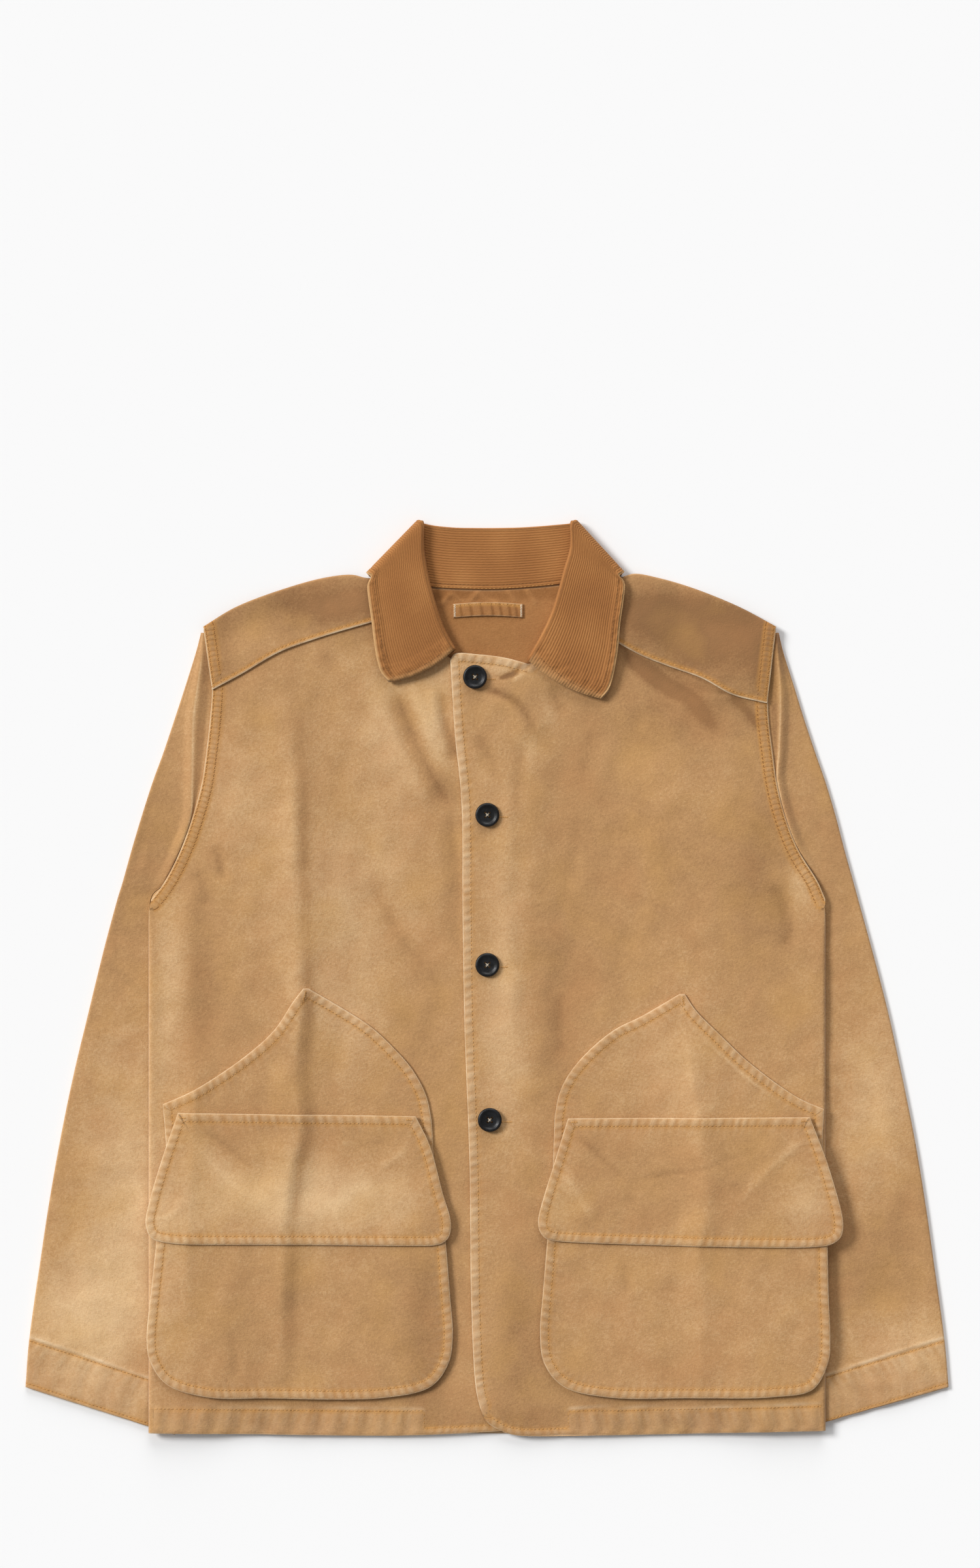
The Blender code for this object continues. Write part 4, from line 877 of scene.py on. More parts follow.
def layPiece(name, rows, seamMark, fadeAndShadeMark, wall=cloth["wall"], finish="washedDuckCanvas",
             grain=None, wale=None, second=None):
    # rows: a grid of points midway in the wall; second: another finish, and where it is worn
    along, across = rows.shape[:2]
    data = bmesh.new()
    bmesh.ops.create_grid(data, x_segments=across - 1, y_segments=along - 1, size=1.0)
    for vertex, point in zip(data.verts, (rows * mm).reshape(-1, 3)):
        vertex.co = point
    piece = addMesh(name, data, finish, *(second or ())[:1])
    mesh = piece.data
    marks = [("seam", "FLOAT_VECTOR", "vector", seamMark),
             ("fadeAndShade", "FLOAT_VECTOR", "vector", fadeAndShadeMark)]
    if wale is not None:
        marks.append(("wale", "FLOAT", "value", wale))
    for key, kind, field, values in marks:
        mesh.attributes.new(key, kind, "POINT").data.foreach_set(
            field, np.ascontiguousarray(values, np.float32).ravel())
    flat = (rows[..., :2] if grain is None else grain).reshape(-1, 2) * mm
    corners = np.empty(len(mesh.loops), np.int32)
    mesh.loops.foreach_get("vertex_index", corners)
    mesh.uv_layers.new(name="grain").data.foreach_set(
        "uv", flat[corners].astype(np.float32).ravel())
    if second is not None:
        chosen = second[1][:-1, :-1].ravel()
        mesh.polygons.foreach_set("material_index", chosen.astype(np.int32))
    thick = piece.modifiers.new("wall", "SOLIDIFY")
    thick.thickness = wall * mm
    thick.offset = 0.0
    thick.use_quality_normals = True
    pieces[name] = piece
    sewn[name] = []


def markUp(x, y, seams):
    height, seam, worn, ochre = sew(x, y, seams)
    return height, seam, np.stack([worn, ochre, fadedAndShaded(x, y)], axis=-1)


def flatPiece(name, plan, low, seams, rolled=0):
    # cloth whose underside follows a height field, with the relief of its seams
    x, y = plan[..., 0], plan[..., 1]
    rise, seam, fadeAndShade = markUp(x, y, seams)
    z = low(x, y) + cloth["wall"] / 2 + rise
    if rolled:
        z = curl(x, y, z, rolled)
    layPiece(name, np.dstack([x, y, z]), seam, fadeAndShade)


def armholePath(index, top, low=body["armpit"]):
    rows = [(row[index], row[0]) for row in armRows if low <= row[0] < top - 4.0]
    return [(float(column(index, top)), top)] + rows


def curl(x, y, z, sign):       # the side edge rolls down to the side seam
    gap = frontLow(x, y) - backLow(x, y) - cloth["wall"]
    radius = gap + cloth["wall"] / 2 - cloth["clear"]
    reach = np.clip(body["side"] - sign * x, 0.0, None)
    drop = radius - np.sqrt(np.clip(radius ** 2 - (radius - reach) ** 2, 0.0, None))
    use = (reach < radius) & (y < 60.0)
    return np.where(use, z - drop * ease(60.0 - y, 0.0, 40.0), z)


# armholeTop: where the front's armhole ends under the yoke, notch: where the neck seam starts
frontLook = {"size": (264.0, 640.0), "across": 3.4, "along": 2.6, "yokeLap": 8.0,
             "armholeTop": {"right": 250.0, "left": 239.0},
             "notch": {"right": (-78.6, 311.0), "left": (94.0, 299.0)}}


def makeFront(side, look):
    isRight = side == "right"
    sign, index = sides[side]
    neck, hem, edge, closing = (
        (rightNeck, underHem, (underTop, underFoot), (rightNeck[-1], underTop)) if isRight
        else (leftNeck, overHem, overEdge, overTop[::-1]))
    armhole = armholePath(index, look["armholeTop"][side])
    corner = (sign * body["side"], body["sideTop"])
    notch = look["notch"][side]
    top = trace([(x, y + look["yokeLap"]) for x, y in yokeSeam[side][:-1]] + [notch],
                (notch,) + neck[1:], closing)
    plan = patch(top, trace(hem)[::-1], trace(armhole, (armhole[-1], corner), (corner, hem[-1])),
                 trace(edge), spaced(look["size"][0], look["across"]),
                 spaced(look["size"][1], look["along"]))
    hemSeam = ("hem", trace(hemRuns[side]))
    seams = ([hemSeam, ("facing", trace((underFoot,) + facingRuns[side]))] if isRight else
             [("front", trace(overEdge[:-2])), ("front", trace(overTop)),
              ("facing", trace(facingRuns[side])), hemSeam])
    flatPiece(side + "Front", plan, frontLow if isRight else overLow,
              [("armhole", trace(armhole))] + seams + [("plain", trace((corner, hem[-1])))], sign)


makeFront("right", frontLook)
makeFront("left", frontLook)
print("fronts made")

backLook = {"size": (566.0, 592.0), "across": 7.0, "along": 7.0, "inset": 8.0,
            "armhole": (70.0, 195.0), "relief": 0.28}


def makeBack(look):
    seamY = body["yokeBackSeam"] - cloth["clear"]
    seam = ((-226.0, seamY), (229.6, seamY))
    edges = []
    for index, sign, armpit, foot in ((1, -1, ((-265.0, 79.0), (-283.4, 60.0)), backHem[0]),
                                      (2, 1, ((271.5, 79.0), (283.4, 60.0)), backHem[-1])):
        armhole = [(x - sign * look["inset"], y)
                   for x, y in armholePath(index, look["armhole"][1]) if y > look["armhole"][0]]
        edges.append(trace([seam[index - 1]] + armhole, armpit, (armpit[-1], foot)))
    plan = patch(trace(seam), trace(backHem), *edges,
                 spaced(look["size"][0], look["across"]), spaced(look["size"][1], look["along"]))
    x, y = plan[..., 0], plan[..., 1]
    # the back rests on the table, so its creases only lift it
    lift = look["relief"] * (1.0 + swell(x, y, 60.0, 21)) * ease(bodyEdge(x, y), 4.0, 30.0)
    _, seamMark, fadeAndShade = markUp(x, y, [("hem", trace(backHem)), ("yoke", trace(seam)),
                                      ("plain", edges[0]), ("plain", edges[1])])
    z = backLow(x, y) + cloth["wall"] / 2 + np.clip(lift, 0.0, None)
    layPiece("backPanel", np.dstack([x, y, z]), seamMark, fadeAndShade)


makeBack(backLook)

yokeLook = {"width": 165.0, "across": 2.8, "backRows": 96, "frontHeight": 62.0,
            "frontStep": 2.4, "tuck": 0.9, "tuckWidth": 1.9, "backWear": 0.3}
neckPuckers = (       # short tucks under the back of the collar
    ((-38.0, 316.0), (-30.0, 324.5), (-24.0, 319.0), (-18.0, 316.5)),
    ((-14.0, 318.0), (-8.0, 325.0), (-1.0, 319.0), (8.0, 316.5)),
    ((18.0, 325.5), (23.0, 319.0)), ((34.0, 326.5), (40.0, 317.0)),
    ((-46.0, 326.0), (-50.0, 316.0)),
)


def shoulderFold(path, down):       # half a turn over the shoulder's edge
    bend = cloth["bend"]
    ahead = np.vstack([path[1:], path[-1:]])
    behind = np.vstack([path[:1], path[:-1]])
    normal = np.stack([behind[:, 1] - ahead[:, 1], ahead[:, 0] - behind[:, 0]], axis=1)
    normal /= np.linalg.norm(normal, axis=1)[:, None]
    normal *= np.where(normal[:, 1] > 0, 1.0, -1.0)[:, None]
    base = path - normal * bend
    low = backLow(base[:, 0], base[:, 1]) + cloth["wall"] / 2
    turned = [np.column_stack([base + normal * bend * math.sin(angle),
                               low + bend * (1 + math.cos(angle))])
              for angle in np.linspace(0.0, math.pi, 9)]
    return turned if down else turned[::-1]


def yokeFront(side, across, look):
    low = pick(trace(yokeSeam[side]), across)
    high = pick(trace(shoulder[side]), across)
    rows = []
    for share in spaced(look["frontHeight"], look["frontStep"], last=False)[:-1]:
        lap = (cloth["wall"] + cloth["clear"]) * ease(-share, -0.75, -0.3)
        close = ease(share, 0.5, 1.0)
        spot = low * (1 - share) + (high - np.array((0.0, cloth["bend"]))) * share
        x, y = spot[:, 0], spot[:, 1]
        fold = backLow(x, y) + 2 * cloth["bend"]
        level = frontLow(x, y) * (1 - close) + fold * close
        rows.append(np.column_stack([spot, level + lap + cloth["wall"] / 2]))
    return rows, high


def makeYoke(look):
    across = spaced(look["width"], look["across"])
    right, rightFold = yokeFront("right", across, look)
    left, leftFold = yokeFront("left", across, look)
    outer = trace(((-237.6, 292.4), (-230.4, 283.0), (-226.0, 270.0), (-223.4, 244.0),
                   (-226.0, 210.0)), ((-226.0, 210.0), (229.6, 210.0)),
                  ((229.6, 210.0), (227.6, 244.0), (230.2, 270.0), (235.0, 283.0),
                   (242.2, 292.4)))
    steps = np.linspace(0.0, 1.0, look["backRows"])[1:-1]
    neck, out = pick(trace(backNeck), steps), pick(outer, steps)
    back = []
    for near, far in zip(neck, out):
        spot = near + (far - near) * (1.0 - across)[:, None]
        low = backLow(spot[:, 0], spot[:, 1]) + cloth["wall"] / 2
        back.append(np.column_stack([spot, low]))
    rows = np.stack(right + shoulderFold(rightFold, True) + back
                    + shoulderFold(leftFold, False) + left[::-1])
    # the back runs from the middle of one shoulder's fold to the middle of the other's
    turned = len(shoulderFold(rightFold, True))
    first = len(right) + turned // 2
    isBack = np.zeros(rows.shape[:2])
    isBack[first:first + len(back) + turned - 1] = 1.0
    x, y = rows[..., 0], rows[..., 1]
    rise, seam, fadeAndShade = markUp(x, y, [(kind, trace(runs[side])) for kind, runs in (
        ("yoke", yokeSeam), ("armhole", yokeArmhole)) for side in ("right", "left")])
    _, backSeam, backFadeAndShade = markUp(x, y, [("plain", trace(backNeck)), ("plain", outer)])
    backFadeAndShade[..., 0] *= look["backWear"]
    pinched = np.zeros(x.shape)
    for points in neckPuckers:
        away, _, _ = nearPath(np.array(points), x, y)
        pinched = np.maximum(pinched, bump(away, 0.0, look["tuckWidth"]))
    rows[..., 2] += look["tuck"] * pinched * isBack
    backFadeAndShade[..., 2] += 0.35 * pinched - 0.45 * ease(y, 316.0, 322.0)
    mask = isBack[..., None]
    rows[..., 2] += np.where(isBack > 0, 0.0, rise)
    seam = seam * (1 - mask) + backSeam * mask
    fadeAndShade = fadeAndShade * (1 - mask) + backFadeAndShade * mask
    layPiece("yokePanel", rows, seam, fadeAndShade, second=("duckCanvasInside", isBack > 0))


makeYoke(yokeLook)
print("back and yoke made")

# lap: reach of the sleeve's cloth past the seam on top and below, opens and closes: where the
# section opens above the armpit and where the pleat is pressed flat under the shoulder,
# cuffSpan: stations of the cuff, cuffRows: rows of the grid there, ring: places of a section's
# ridge, of the valley beside it, of the side that faces up, and of the outer fold
sleeveLook = {"per": 8, "ridge": 1.7, "forearm": 12, "lap": (5.0, 12.0), "armpitX": 283.4,
              "opens": (68.0, 128.0), "closes": (-289.0, -258.0), "cuffSpan": 11,
              "cuffRows": 45, "past": 20.0, "ring": (11, (7, 10), (2, 40), 41),
              "wrinkles": ((0.4, 46.0, 31), (0.15, 17.0, 41))}


def halfTurn(centre, radius, low, high, steps=8):
    angle = np.linspace(0.0, math.pi, steps + 1)
    return list(zip(centre - radius * np.sin(angle),
                    (low + high) / 2 + (high - low) / 2 * np.cos(angle)))


def ringPoints(reach, seam, pleat, lapFront, lapBack, frontZ, lift):
    # a sleeve's section: distance in from the outer fold, and height, seam to seam
    bend, floor = cloth["bend"], cloth["wall"] / 2
    top = floor + 2 * bend
    radius = min(bend, 0.35 * seam)
    foot = max(radius + 0.2, pleat - min(9.0, 0.75 * pleat))
    footZ = top + (frontZ - top) * 0.25
    start = max(seam - 0.5, pleat + 0.4)
    ring = [(seam + lapFront + (start - seam - lapFront) * t, frontZ)
            for t in np.linspace(0, 1, 6)]
    ring += [(start + (pleat - start) * t, frontZ + lift * t * t)
             for t in np.linspace(0.15, 1, 6)]
    shares = np.linspace(0.12, 1.0, 8)
    slope = shares * shares * (3 - 2 * shares)
    crest = frontZ + lift
    ring += [(pleat + (foot - pleat) * t, crest + (footZ - crest) * fall)
             for t, fall in zip(shares, slope)]
    ring += [(radius + (foot - radius) * t, top + (footZ - top) * t ** 2)
             for t in np.linspace(0.94, 0.06, 17)]
    ring += halfTurn(radius, radius, floor, top)
    span = reach - bend - radius
    ring += [(radius + span * t, floor) for t in np.linspace(0.08, 0.92, 12)]
    ring += [(2 * (reach - bend) - w, z)
             for w, z in reversed(halfTurn(reach - bend, bend, floor, top))]
    end = seam + lapBack
    ring += [(reach - bend + (end - reach + bend) * t, top) for t in np.linspace(0.12, 1.0, 8)]
    return ring


# soft ridges and hollows of the forearms; half width, height, points
sleeveCreases = {
    "right": ((6.0, 0.9, ((-324.0, 24.0), (-305.0, 4.0), (-286.0, -12.0))),
              (5.0, -0.8, ((-320.0, 8.0), (-300.0, -9.0), (-285.0, -27.0))),
              (9.0, 0.7, ((-336.0, -42.0), (-310.0, -50.0), (-285.0, -67.0))),
              (14.0, -0.9, ((-303.0, -160.0), (-305.0, -200.0), (-300.0, -236.0))),
              (10.0, -0.7, ((-301.0, -280.0), (-296.0, -310.0), (-292.0, -338.0))),
              (8.0, -0.6, ((-283.0, 170.0), (-290.0, 120.0), (-300.0, 80.0))),
              (12.0, 0.6, ((-340.0, -180.0), (-338.0, -250.0), (-330.0, -330.0)))),
    "left": ((10.0, -0.6, ((298.0, -50.0), (302.0, -140.0), (299.0, -230.0))),
             (9.0, 0.6, ((268.0, 210.0), (276.0, 160.0), (286.0, 100.0))),
             (12.0, 0.6, ((330.0, -60.0), (342.0, -160.0), (346.0, -250.0))),
             (7.0, -0.6, ((366.0, -240.0), (360.0, -290.0), (352.0, -340.0)))),
}
cuffLines = {}       # where each cuff is stitched, and on which side of the line


def makeSleeve(side, look):
    sign, index = sides[side]
    half, bend, clear = cloth["wall"] / 2, cloth["bend"], cloth["clear"]
    stations = [(row[index + 2], row[0], row[index], row[0], sign * float(innerFold(row[0])),
                 row[0], abs(row[index + 2] - row[index + 4]), row[0]) for row in armRows[:-1]]
    edge = trace([(row[index], row[0]) for row in forearmRows])
    armpit = np.array((sign * look["armpitX"], body["armpit"]))
    cuff = np.array(cuffInner[side])
    for share in np.linspace(0, 1, look["forearm"] + 1):
        outer, seam = pick(edge, [share])[0], armpit + (cuff - armpit) * share
        gap = np.linalg.norm(outer - seam)
        stations.append((*outer, *seam, sign * float(innerFold(seam[1])), seam[1],
                         gap * 0.9 - 1.0, body["armpit"] - body["sleeveLength"] * share))
    rows, grain, run, raised = [], [], 0.0, []
    stations = smoothThrough(stations, look["per"], 0.0)
    steps = np.arange(len(stations))       # closer together over the cuff
    span = look["cuffSpan"]
    close = np.concatenate([steps[:-span], np.linspace(steps[-span], steps[-1],
                                                       look["cuffRows"])])
    stations = np.stack([np.interp(close, steps, values) for values in stations.T], axis=1)
    for k, row in enumerate(stations):
        outer, seam, inner, pleat, y = row[0:2], row[2:4], row[4:6], row[6], row[7]
        inward = inner - outer
        reach = np.linalg.norm(inward)
        inward = inward / reach
        seamAt = np.linalg.norm(seam - outer)
        openShare = float(ease(y, *look["opens"]))
        lapped = openShare * float(ease(-y, *look["closes"]))
        lapFront = look["lap"][0] * lapped - clear * (1 - lapped)
        lapBack = (min(look["lap"][1], reach - seamAt - 2.5) * openShare
                   + clear / 2 * (1 - openShare))
        low = half + 2 * bend
        high = float(frontLow(seam[0], seam[1])) - clear - half
        frontZ = low + (high - low) * openShare
        ring = np.array(ringPoints(reach, seamAt, min(pleat, seamAt - 1.0), lapFront, lapBack,
                                   frontZ, look["ridge"] * lapped))
        if k:
            run += np.linalg.norm(row[0:2] - stations[k - 1][0:2])
        raised.append(lapped)
        rows.append(np.column_stack([outer + inward * ring[:, :1], ring[:, 1]]))
        grain.append(np.column_stack([lengths(ring), np.full(len(ring), run)]))
    rows, grain = np.stack(rows), np.stack(grain)
    x, y = rows[..., 0], rows[..., 1]
    ends = stations[-1][0:2], stations[-1][2:4]
    past = look["past"] * (ends[1] - ends[0]) / np.linalg.norm(ends[1] - ends[0])
    rise, seam, fadeAndShade = markUp(x, y, [("cuff", trace((ends[0] - past, ends[1] + past)))])
    ridge, (valley, valleyEnd), (first, last), fold = look["ring"]
    fadeAndShade[:, ridge, 2] += 0.45 * np.array(raised)      # the pleat's ridge is painted paler, partly washed and partly its highlight; the valley beside it darker, as painted shade
    fadeAndShade[:, valley:valleyEnd, 2] -= 0.35 * np.array(raised)[:, None]
    upper = np.zeros(rows.shape[:2])
    upper[:, first:last] = 1.0         # only the side that faces up is raised
    shows = ease(np.abs(x), body["side"] - 4.0, body["side"] + 6.0) * upper
    wrinkle = sum(high * swell(x, y, size, seed + sign) for high, size, seed in look["wrinkles"])
    for wide, height, points in sleeveCreases[side]:
        path = smoothThrough(points)
        away, along, _ = nearPath(path, x, y)
        wrinkle += height * fadeEnds(path, along) * ease(-away, -wide, 0.0)
    fromFold = np.hypot(x - x[:, fold, None], y - y[:, fold, None])
    rows[..., 2] += (np.clip(wrinkle, -0.45, 2.0) + rise) * shows * ease(fromFold, 0.5, 7.0)
    name = "sleeve" + side.capitalize()
    layPiece(name, rows, seam, fadeAndShade, grain=grain)
    cuffLines[name] = (trace((ends[0] - past, ends[0] + (ends[1] - ends[0]) * 0.86)), -sign)


makeSleeve("right", sleeveLook)
makeSleeve("left", sleeveLook)
print("sleeves made")

# grooves: depth and half width along the stitch rows, coil: most radius of the roll, as a
# share of the stand, step and pile: how far the pile's grain runs along and across,
# station: distance between two stations at a leaf's lower edge, shows: under collar below it
collarLook = {"per": 4, "standWales": 23, "fallWales": 29, "perWale": 4, "waleHeight": 0.08,
              "pitch": 2.3, "neckRow": 3.0, "edgeRow": 6.0, "neckGroove": (0.3, 1.2),
              "edgeGroove": (0.25, 1.3), "coil": 0.42, "step": 7.0, "pile": 2.2,
              "station": 1.6, "shows": (0.8, -0.3), "underRow": 4.6, "goldRow": 1.9,
              "mottle": 0.12}


def collarStations():
    # neck, roll on the stand's side, roll on the fall's side, edge, side vector, bow
    wall, cord = cloth["wall"], cloth["cord"]
    overBody = 2 * wall + body["yokeLift"] + cloth["clear"] + 0.2
    fallFront = overBody + cloth["under"] + cloth["clear"] + cord / 2
    made = []

    def add(row, stand, roll, edge, shiftStand, shiftFall, side, bow=0.0):
        made.append(np.concatenate([
            np.array((row[0], row[1], stand)) + shiftStand,
            np.array((row[2], row[3], stand)) + shiftStand,
            np.array((row[2], row[3], roll)) + shiftFall,
            np.array((row[4], row[5], edge)) + shiftFall, side, (bow,)]))

    def front(row):
        still = np.zeros(3)
        stand = float(frontLow(row[0], row[1]))
        edge = max(stand, float(frontLow(row[4], row[5]))) + fallFront
        add(row, stand + cord / 2, stand + fallFront + 0.2, edge, still, still,
            np.array((0.0, 0.0, 1.0)), row[6])

    def turn(row, angles):
        normal = np.array((row[5] - row[3], row[2] - row[4], 0.0))
        normal /= np.linalg.norm(normal)
        normal = normal if normal[1] > 0 else -normal
        up = np.array((0.0, 0.0, 1.0))
        back = float(backLow(row[0], row[1] - 12.0)) + cord / 2
        bend = cloth["bend"] + 0.1
        high = back + 2 * bend + fallFront - cord / 2
        middle, wide = (high + cord / 2) / 2, (high - cord / 2) / 2
        for angle in angles:
            out, rise = math.sin(math.radians(angle)), math.cos(math.radians(angle))
            fall = middle + wide * rise
            add(row, back + bend * (1 + rise), fall, fall, normal * (bend * out - wide),
                normal * (wide * out - wide), normal * out + up * rise)

    for row in rightLeaf:
        front(row)
    turn(rightTurn, (0, 45, 90, 135, 180))
    for row in backCollar:
        stand = float(backLow(row[0], row[1] - 12.0)) + cord / 2
        add(row, stand, cord / 2, cord / 2, np.zeros(3), np.zeros(3), np.array((0.0, 0.0, -1.0)))
    turn(leftTurn, (180, 135, 90, 45, 0))
    for row in leftLeaf:
        front(row)
    return smoothThrough(made, collarLook["per"], 0.0)


def rollOver(start, end, inward, outward, radius):       # from the stand to the fall
    middle, half = (start + end) / 2, (start - end) / 2
    made = []
    for t in np.linspace(0, 1, 9)[1:-1]:
        way = inward * (1 - t) - outward * t
        way /= np.linalg.norm(way)
        made.append(middle + half * math.cos(math.pi * t)
                    + way * radius * math.sin(math.pi * t))
    return made


def makeCollar(look):
    wales, under, marks, bands, counts, grain = [], [], [], [], [], []
    stations = collarStations()
    standShares, fallShares = [np.linspace(0, 1, look[key] * look["perWale"] + 1)
                               for key in ("standWales", "fallWales")]
    liningShares = np.linspace(0.12, 1.0, 14)
    for k, station in enumerate(stations):
        neck, low, high, edge, side = [station[i:i + 3] for i in (0, 3, 6, 9, 12)]
        side = side / max(1e-6, np.linalg.norm(side))
        inward = (low - neck) / np.linalg.norm(low - neck)
        outward = (edge - high) / np.linalg.norm(edge - high)
        across = np.cross(side, outward)
        bow = across * (1 if across[1] < 0 else -1) * station[15] * 4
        radius = min(np.linalg.norm(high - low) / 2, look["coil"] * np.linalg.norm(low - neck))
        standEnd, fallStart = low - inward * radius, high + outward * radius
        roll = rollOver(standEnd, fallStart, inward, outward, radius)
        # the wales stand up along both parts, and the stitch rows sink into them
        fromNeck = standShares * np.linalg.norm(standEnd - neck)
        relief = (look["waleHeight"] * np.cos(math.tau * standShares * look["standWales"])
                  - look["neckGroove"][0] * bump(fromNeck, look["neckRow"],
                                                 look["neckGroove"][1]))
        stand = neck + (standEnd - neck) * standShares[:, None] - side * relief[:, None]
        fromEdge = (1 - fallShares) * np.linalg.norm(edge - fallStart)
        relief = (look["waleHeight"] * np.cos(math.tau * fallShares * look["fallWales"])
                  - look["edgeGroove"][0] * bump(fromEdge, look["edgeRow"],
                                                 look["edgeGroove"][1]))
        fall = (fallStart + (edge - fallStart) * fallShares[:, None]
                + bow * (fallShares * (1 - fallShares))[:, None] + side * relief[:, None])
        wales.append(np.vstack([stand, roll, fall]))
        around = lengths(np.vstack([stand[-1:], roll, fall[:1]]))[1:-1] / look["pitch"]
        count = np.concatenate([standShares * look["standWales"], around,
                                fallShares * look["fallWales"]])
        counts.append(count)
        grain.append(np.column_stack([np.full(len(count), look["step"] * k),
                                      count * look["pile"]]))
        # how far from a leaf's lower edge
        ends = min(k, len(stations) - 1 - k) * look["station"]
        plain = np.zeros(len(stand) + len(roll))
        worn = 1 - ease(fromEdge, 0.8, 2.6)
        if ends < 3.2:
            worn = np.maximum(worn, 0.6 if ends < 1.0 else 0.25)
        row = np.concatenate([bump(fromNeck, look["neckRow"], 0.7), np.zeros(len(roll)),
                              bump(fromEdge, look["edgeRow"], 0.9)])
        marks.append(np.column_stack([np.append(plain, worn), row, np.zeros(len(row))]))
        band = ease(fromEdge, 0.2, 2.0) * (1 - ease(fromEdge, 6.0, 11.0))
        if ends < 9.0:
            band = np.maximum(band, 1 - ease(ends, 4.0, 9.0))
        bands.append(np.column_stack([np.zeros((len(row), 2)), np.append(plain, band)]))
        inside = side * (cloth["cord"] / 2 + cloth["clear"] + cloth["under"] / 2)
        end = edge + outward * look["shows"][0 if ends < 6.4 else 1]     # below a leaf only
        under.append(fallStart + (end - fallStart) * liningShares[:, None] - inside
                     + bow * (liningShares * (1 - liningShares))[:, None])
    rows, under = np.stack(wales), np.stack(under)
    rows[..., 2] = np.maximum(rows[..., 2], cloth["cord"] / 2 + 0.03)      # rests on the table
    fadeAndShade = np.stack(marks)
    fadeAndShade[..., 2] = look["mottle"] * swell(rows[..., 0], rows[..., 1], 40.0, 61)
    layPiece("corduroyCollar", rows, np.stack(bands), fadeAndShade, cloth["cord"], "brushedCorduroy",
             np.stack(grain), np.stack(counts))
    blank = np.zeros(under.shape)
    layPiece("underCollar", under, blank, blank, cloth["under"], "paleCottonTwill")


makeCollar(collarLook)
print("collar made")

pocketLook = {"across": 2.7, "along": 2.6, "handWarmer": (300.0, 216.0),
              "cargo": (240.0, 146.0), "flap": (240.0, 110.0), "apex": 4.0}
outlines = {}       # the edges that are sewn all round


def makePocket(side, look):
    base = frontLow if side == "right" else overLow
    layers = [lambda x, y, count=count: base(x, y) + layerStep(body["lapAir"])
              + count * layerStep(body["patchAir"]) for count in range(3)]
    title = side.capitalize()
    opening, rounded = [patches[side][key] for key in ("opening", "rounded")]
    outer, bottom, inner = [trace(patches[side][key]) for key in ("outer", "bottom", "inner")]
    top = trace(opening, (opening[-1], rounded[0]), rounded)
    steps = lengths(top)
    apex = steps[len(trace(opening)) - 1] / steps[-1]
    wide, tall = look["handWarmer"]
    across = spaced(wide, look["across"])
    for corner in (apex, apex + look["apex"] / steps[-1]):      # a line runs into each corner
        across[np.argmin(np.abs(across - corner))] = corner
    plan = patch(top, bottom, outer, inner, across, spaced(tall, look["along"]))
    edge = np.vstack([outer[::-1], top, inner])
    outlines["handWarmer" + title] = edge
    flatPiece("handWarmer" + title, plan, layers[0], [("pocket", edge)])
    for name, outline, low in (("cargo", cargos[side], layers[1]),
                               ("flap", flaps[side], layers[2])):
        wide, tall = look[name]
        outer, bottom, inner = turnedRun(outline["outer"], outline["bottom"],
                                         outline["inner"][::-1])
        top = trace(outline["top"])
        plan = patch(top, bottom, outer, inner[::-1], spaced(wide, look["across"]),
                     spaced(tall, look["along"]))
        edge = np.vstack([outer, bottom, inner] + ([top[::-1]] if name == "flap" else []))
        outlines[name + title] = edge
        flatPiece(name + title, plan, low, [("pocket", edge)])


makePocket("right", pocketLook)
makePocket("left", pocketLook)
print("pockets made")

loopLook = {"length": 59.0, "width": 11.5, "wall": 1.0, "x": 0.8, "y": 309.5, "across": 0.9,
            "bow": 1.6, "arch": 0.5, "kept": -0.15,
            "tucks": (-21.5, -13.0, -4.0, 5.0, 12.0, 19.5, 25.0), "tuckLean": 0.16,
            "tuckWidth": 1.1, "tuckDepth": 0.8}


def makeLoop(look):
    u = np.linspace(0, 1, round(look["length"] / look["across"]))[None, :]
    v = np.array((-0.5, -0.46, -0.4, -0.3, -0.2, -0.1, 0.0, 0.1, 0.2, 0.3, 0.4, 0.46, 0.5))
    v = v[:, None]
    x = look["x"] + (u - 0.5) * look["length"] + 0 * v
    y = look["y"] + v * look["width"] + look["bow"] * np.sin(math.pi * u)
    arch = look["arch"] * np.sin(math.pi * u) + 0 * v
    z = backLow(x, y) + cloth["wall"] + cloth["clear"] + look["wall"] / 2 + arch
    edges = [("loop", np.column_stack([x[-1], y[-1]])), ("plain", np.column_stack([x[0], y[0]]))]
    rise, seam, fadeAndShade = markUp(x, y, edges)
    fadeAndShade[..., 2] = look["kept"]
    for tuck in look["tucks"]:
        pinch = bump(x + look["tuckLean"] * (y - look["y"]), tuck, look["tuckWidth"])
        rise = rise - look["tuckDepth"] * pinch
        # the tucks are also painted darker, as shade in their dents
        fadeAndShade[..., 2] -= look["tuckDepth"] * pinch
    layPiece("hangerLoop", np.dstack([x, y, z + 0.5 * rise]), seam, fadeAndShade, look["wall"],
             "duckCanvasInside")


makeLoop(loopLook)

# ---- threads
stitchLook = {"length": 2.9, "thick": 0.25, "pitch": 3.3, "sunk": 0.04, "slant": 0.0}
slantedLook = {"length": 2.2, "thick": 0.36, "pitch": 3.3, "sunk": 0.12, "slant": 0.75}
tackLook = {"thick": 0.26, "lean": 0.25}


def surfaceOf(piece):
    return BVHTree.FromObject(piece, bpy.context.evaluated_depsgraph_get())


def fallOn(surface, spot):        # the point of the cloth straight below, and its normal
    return surface.ray_cast(Vector((spot[0] * mm, spot[1] * mm, 0.05)), Vector((0, 0, -1)))[:2]


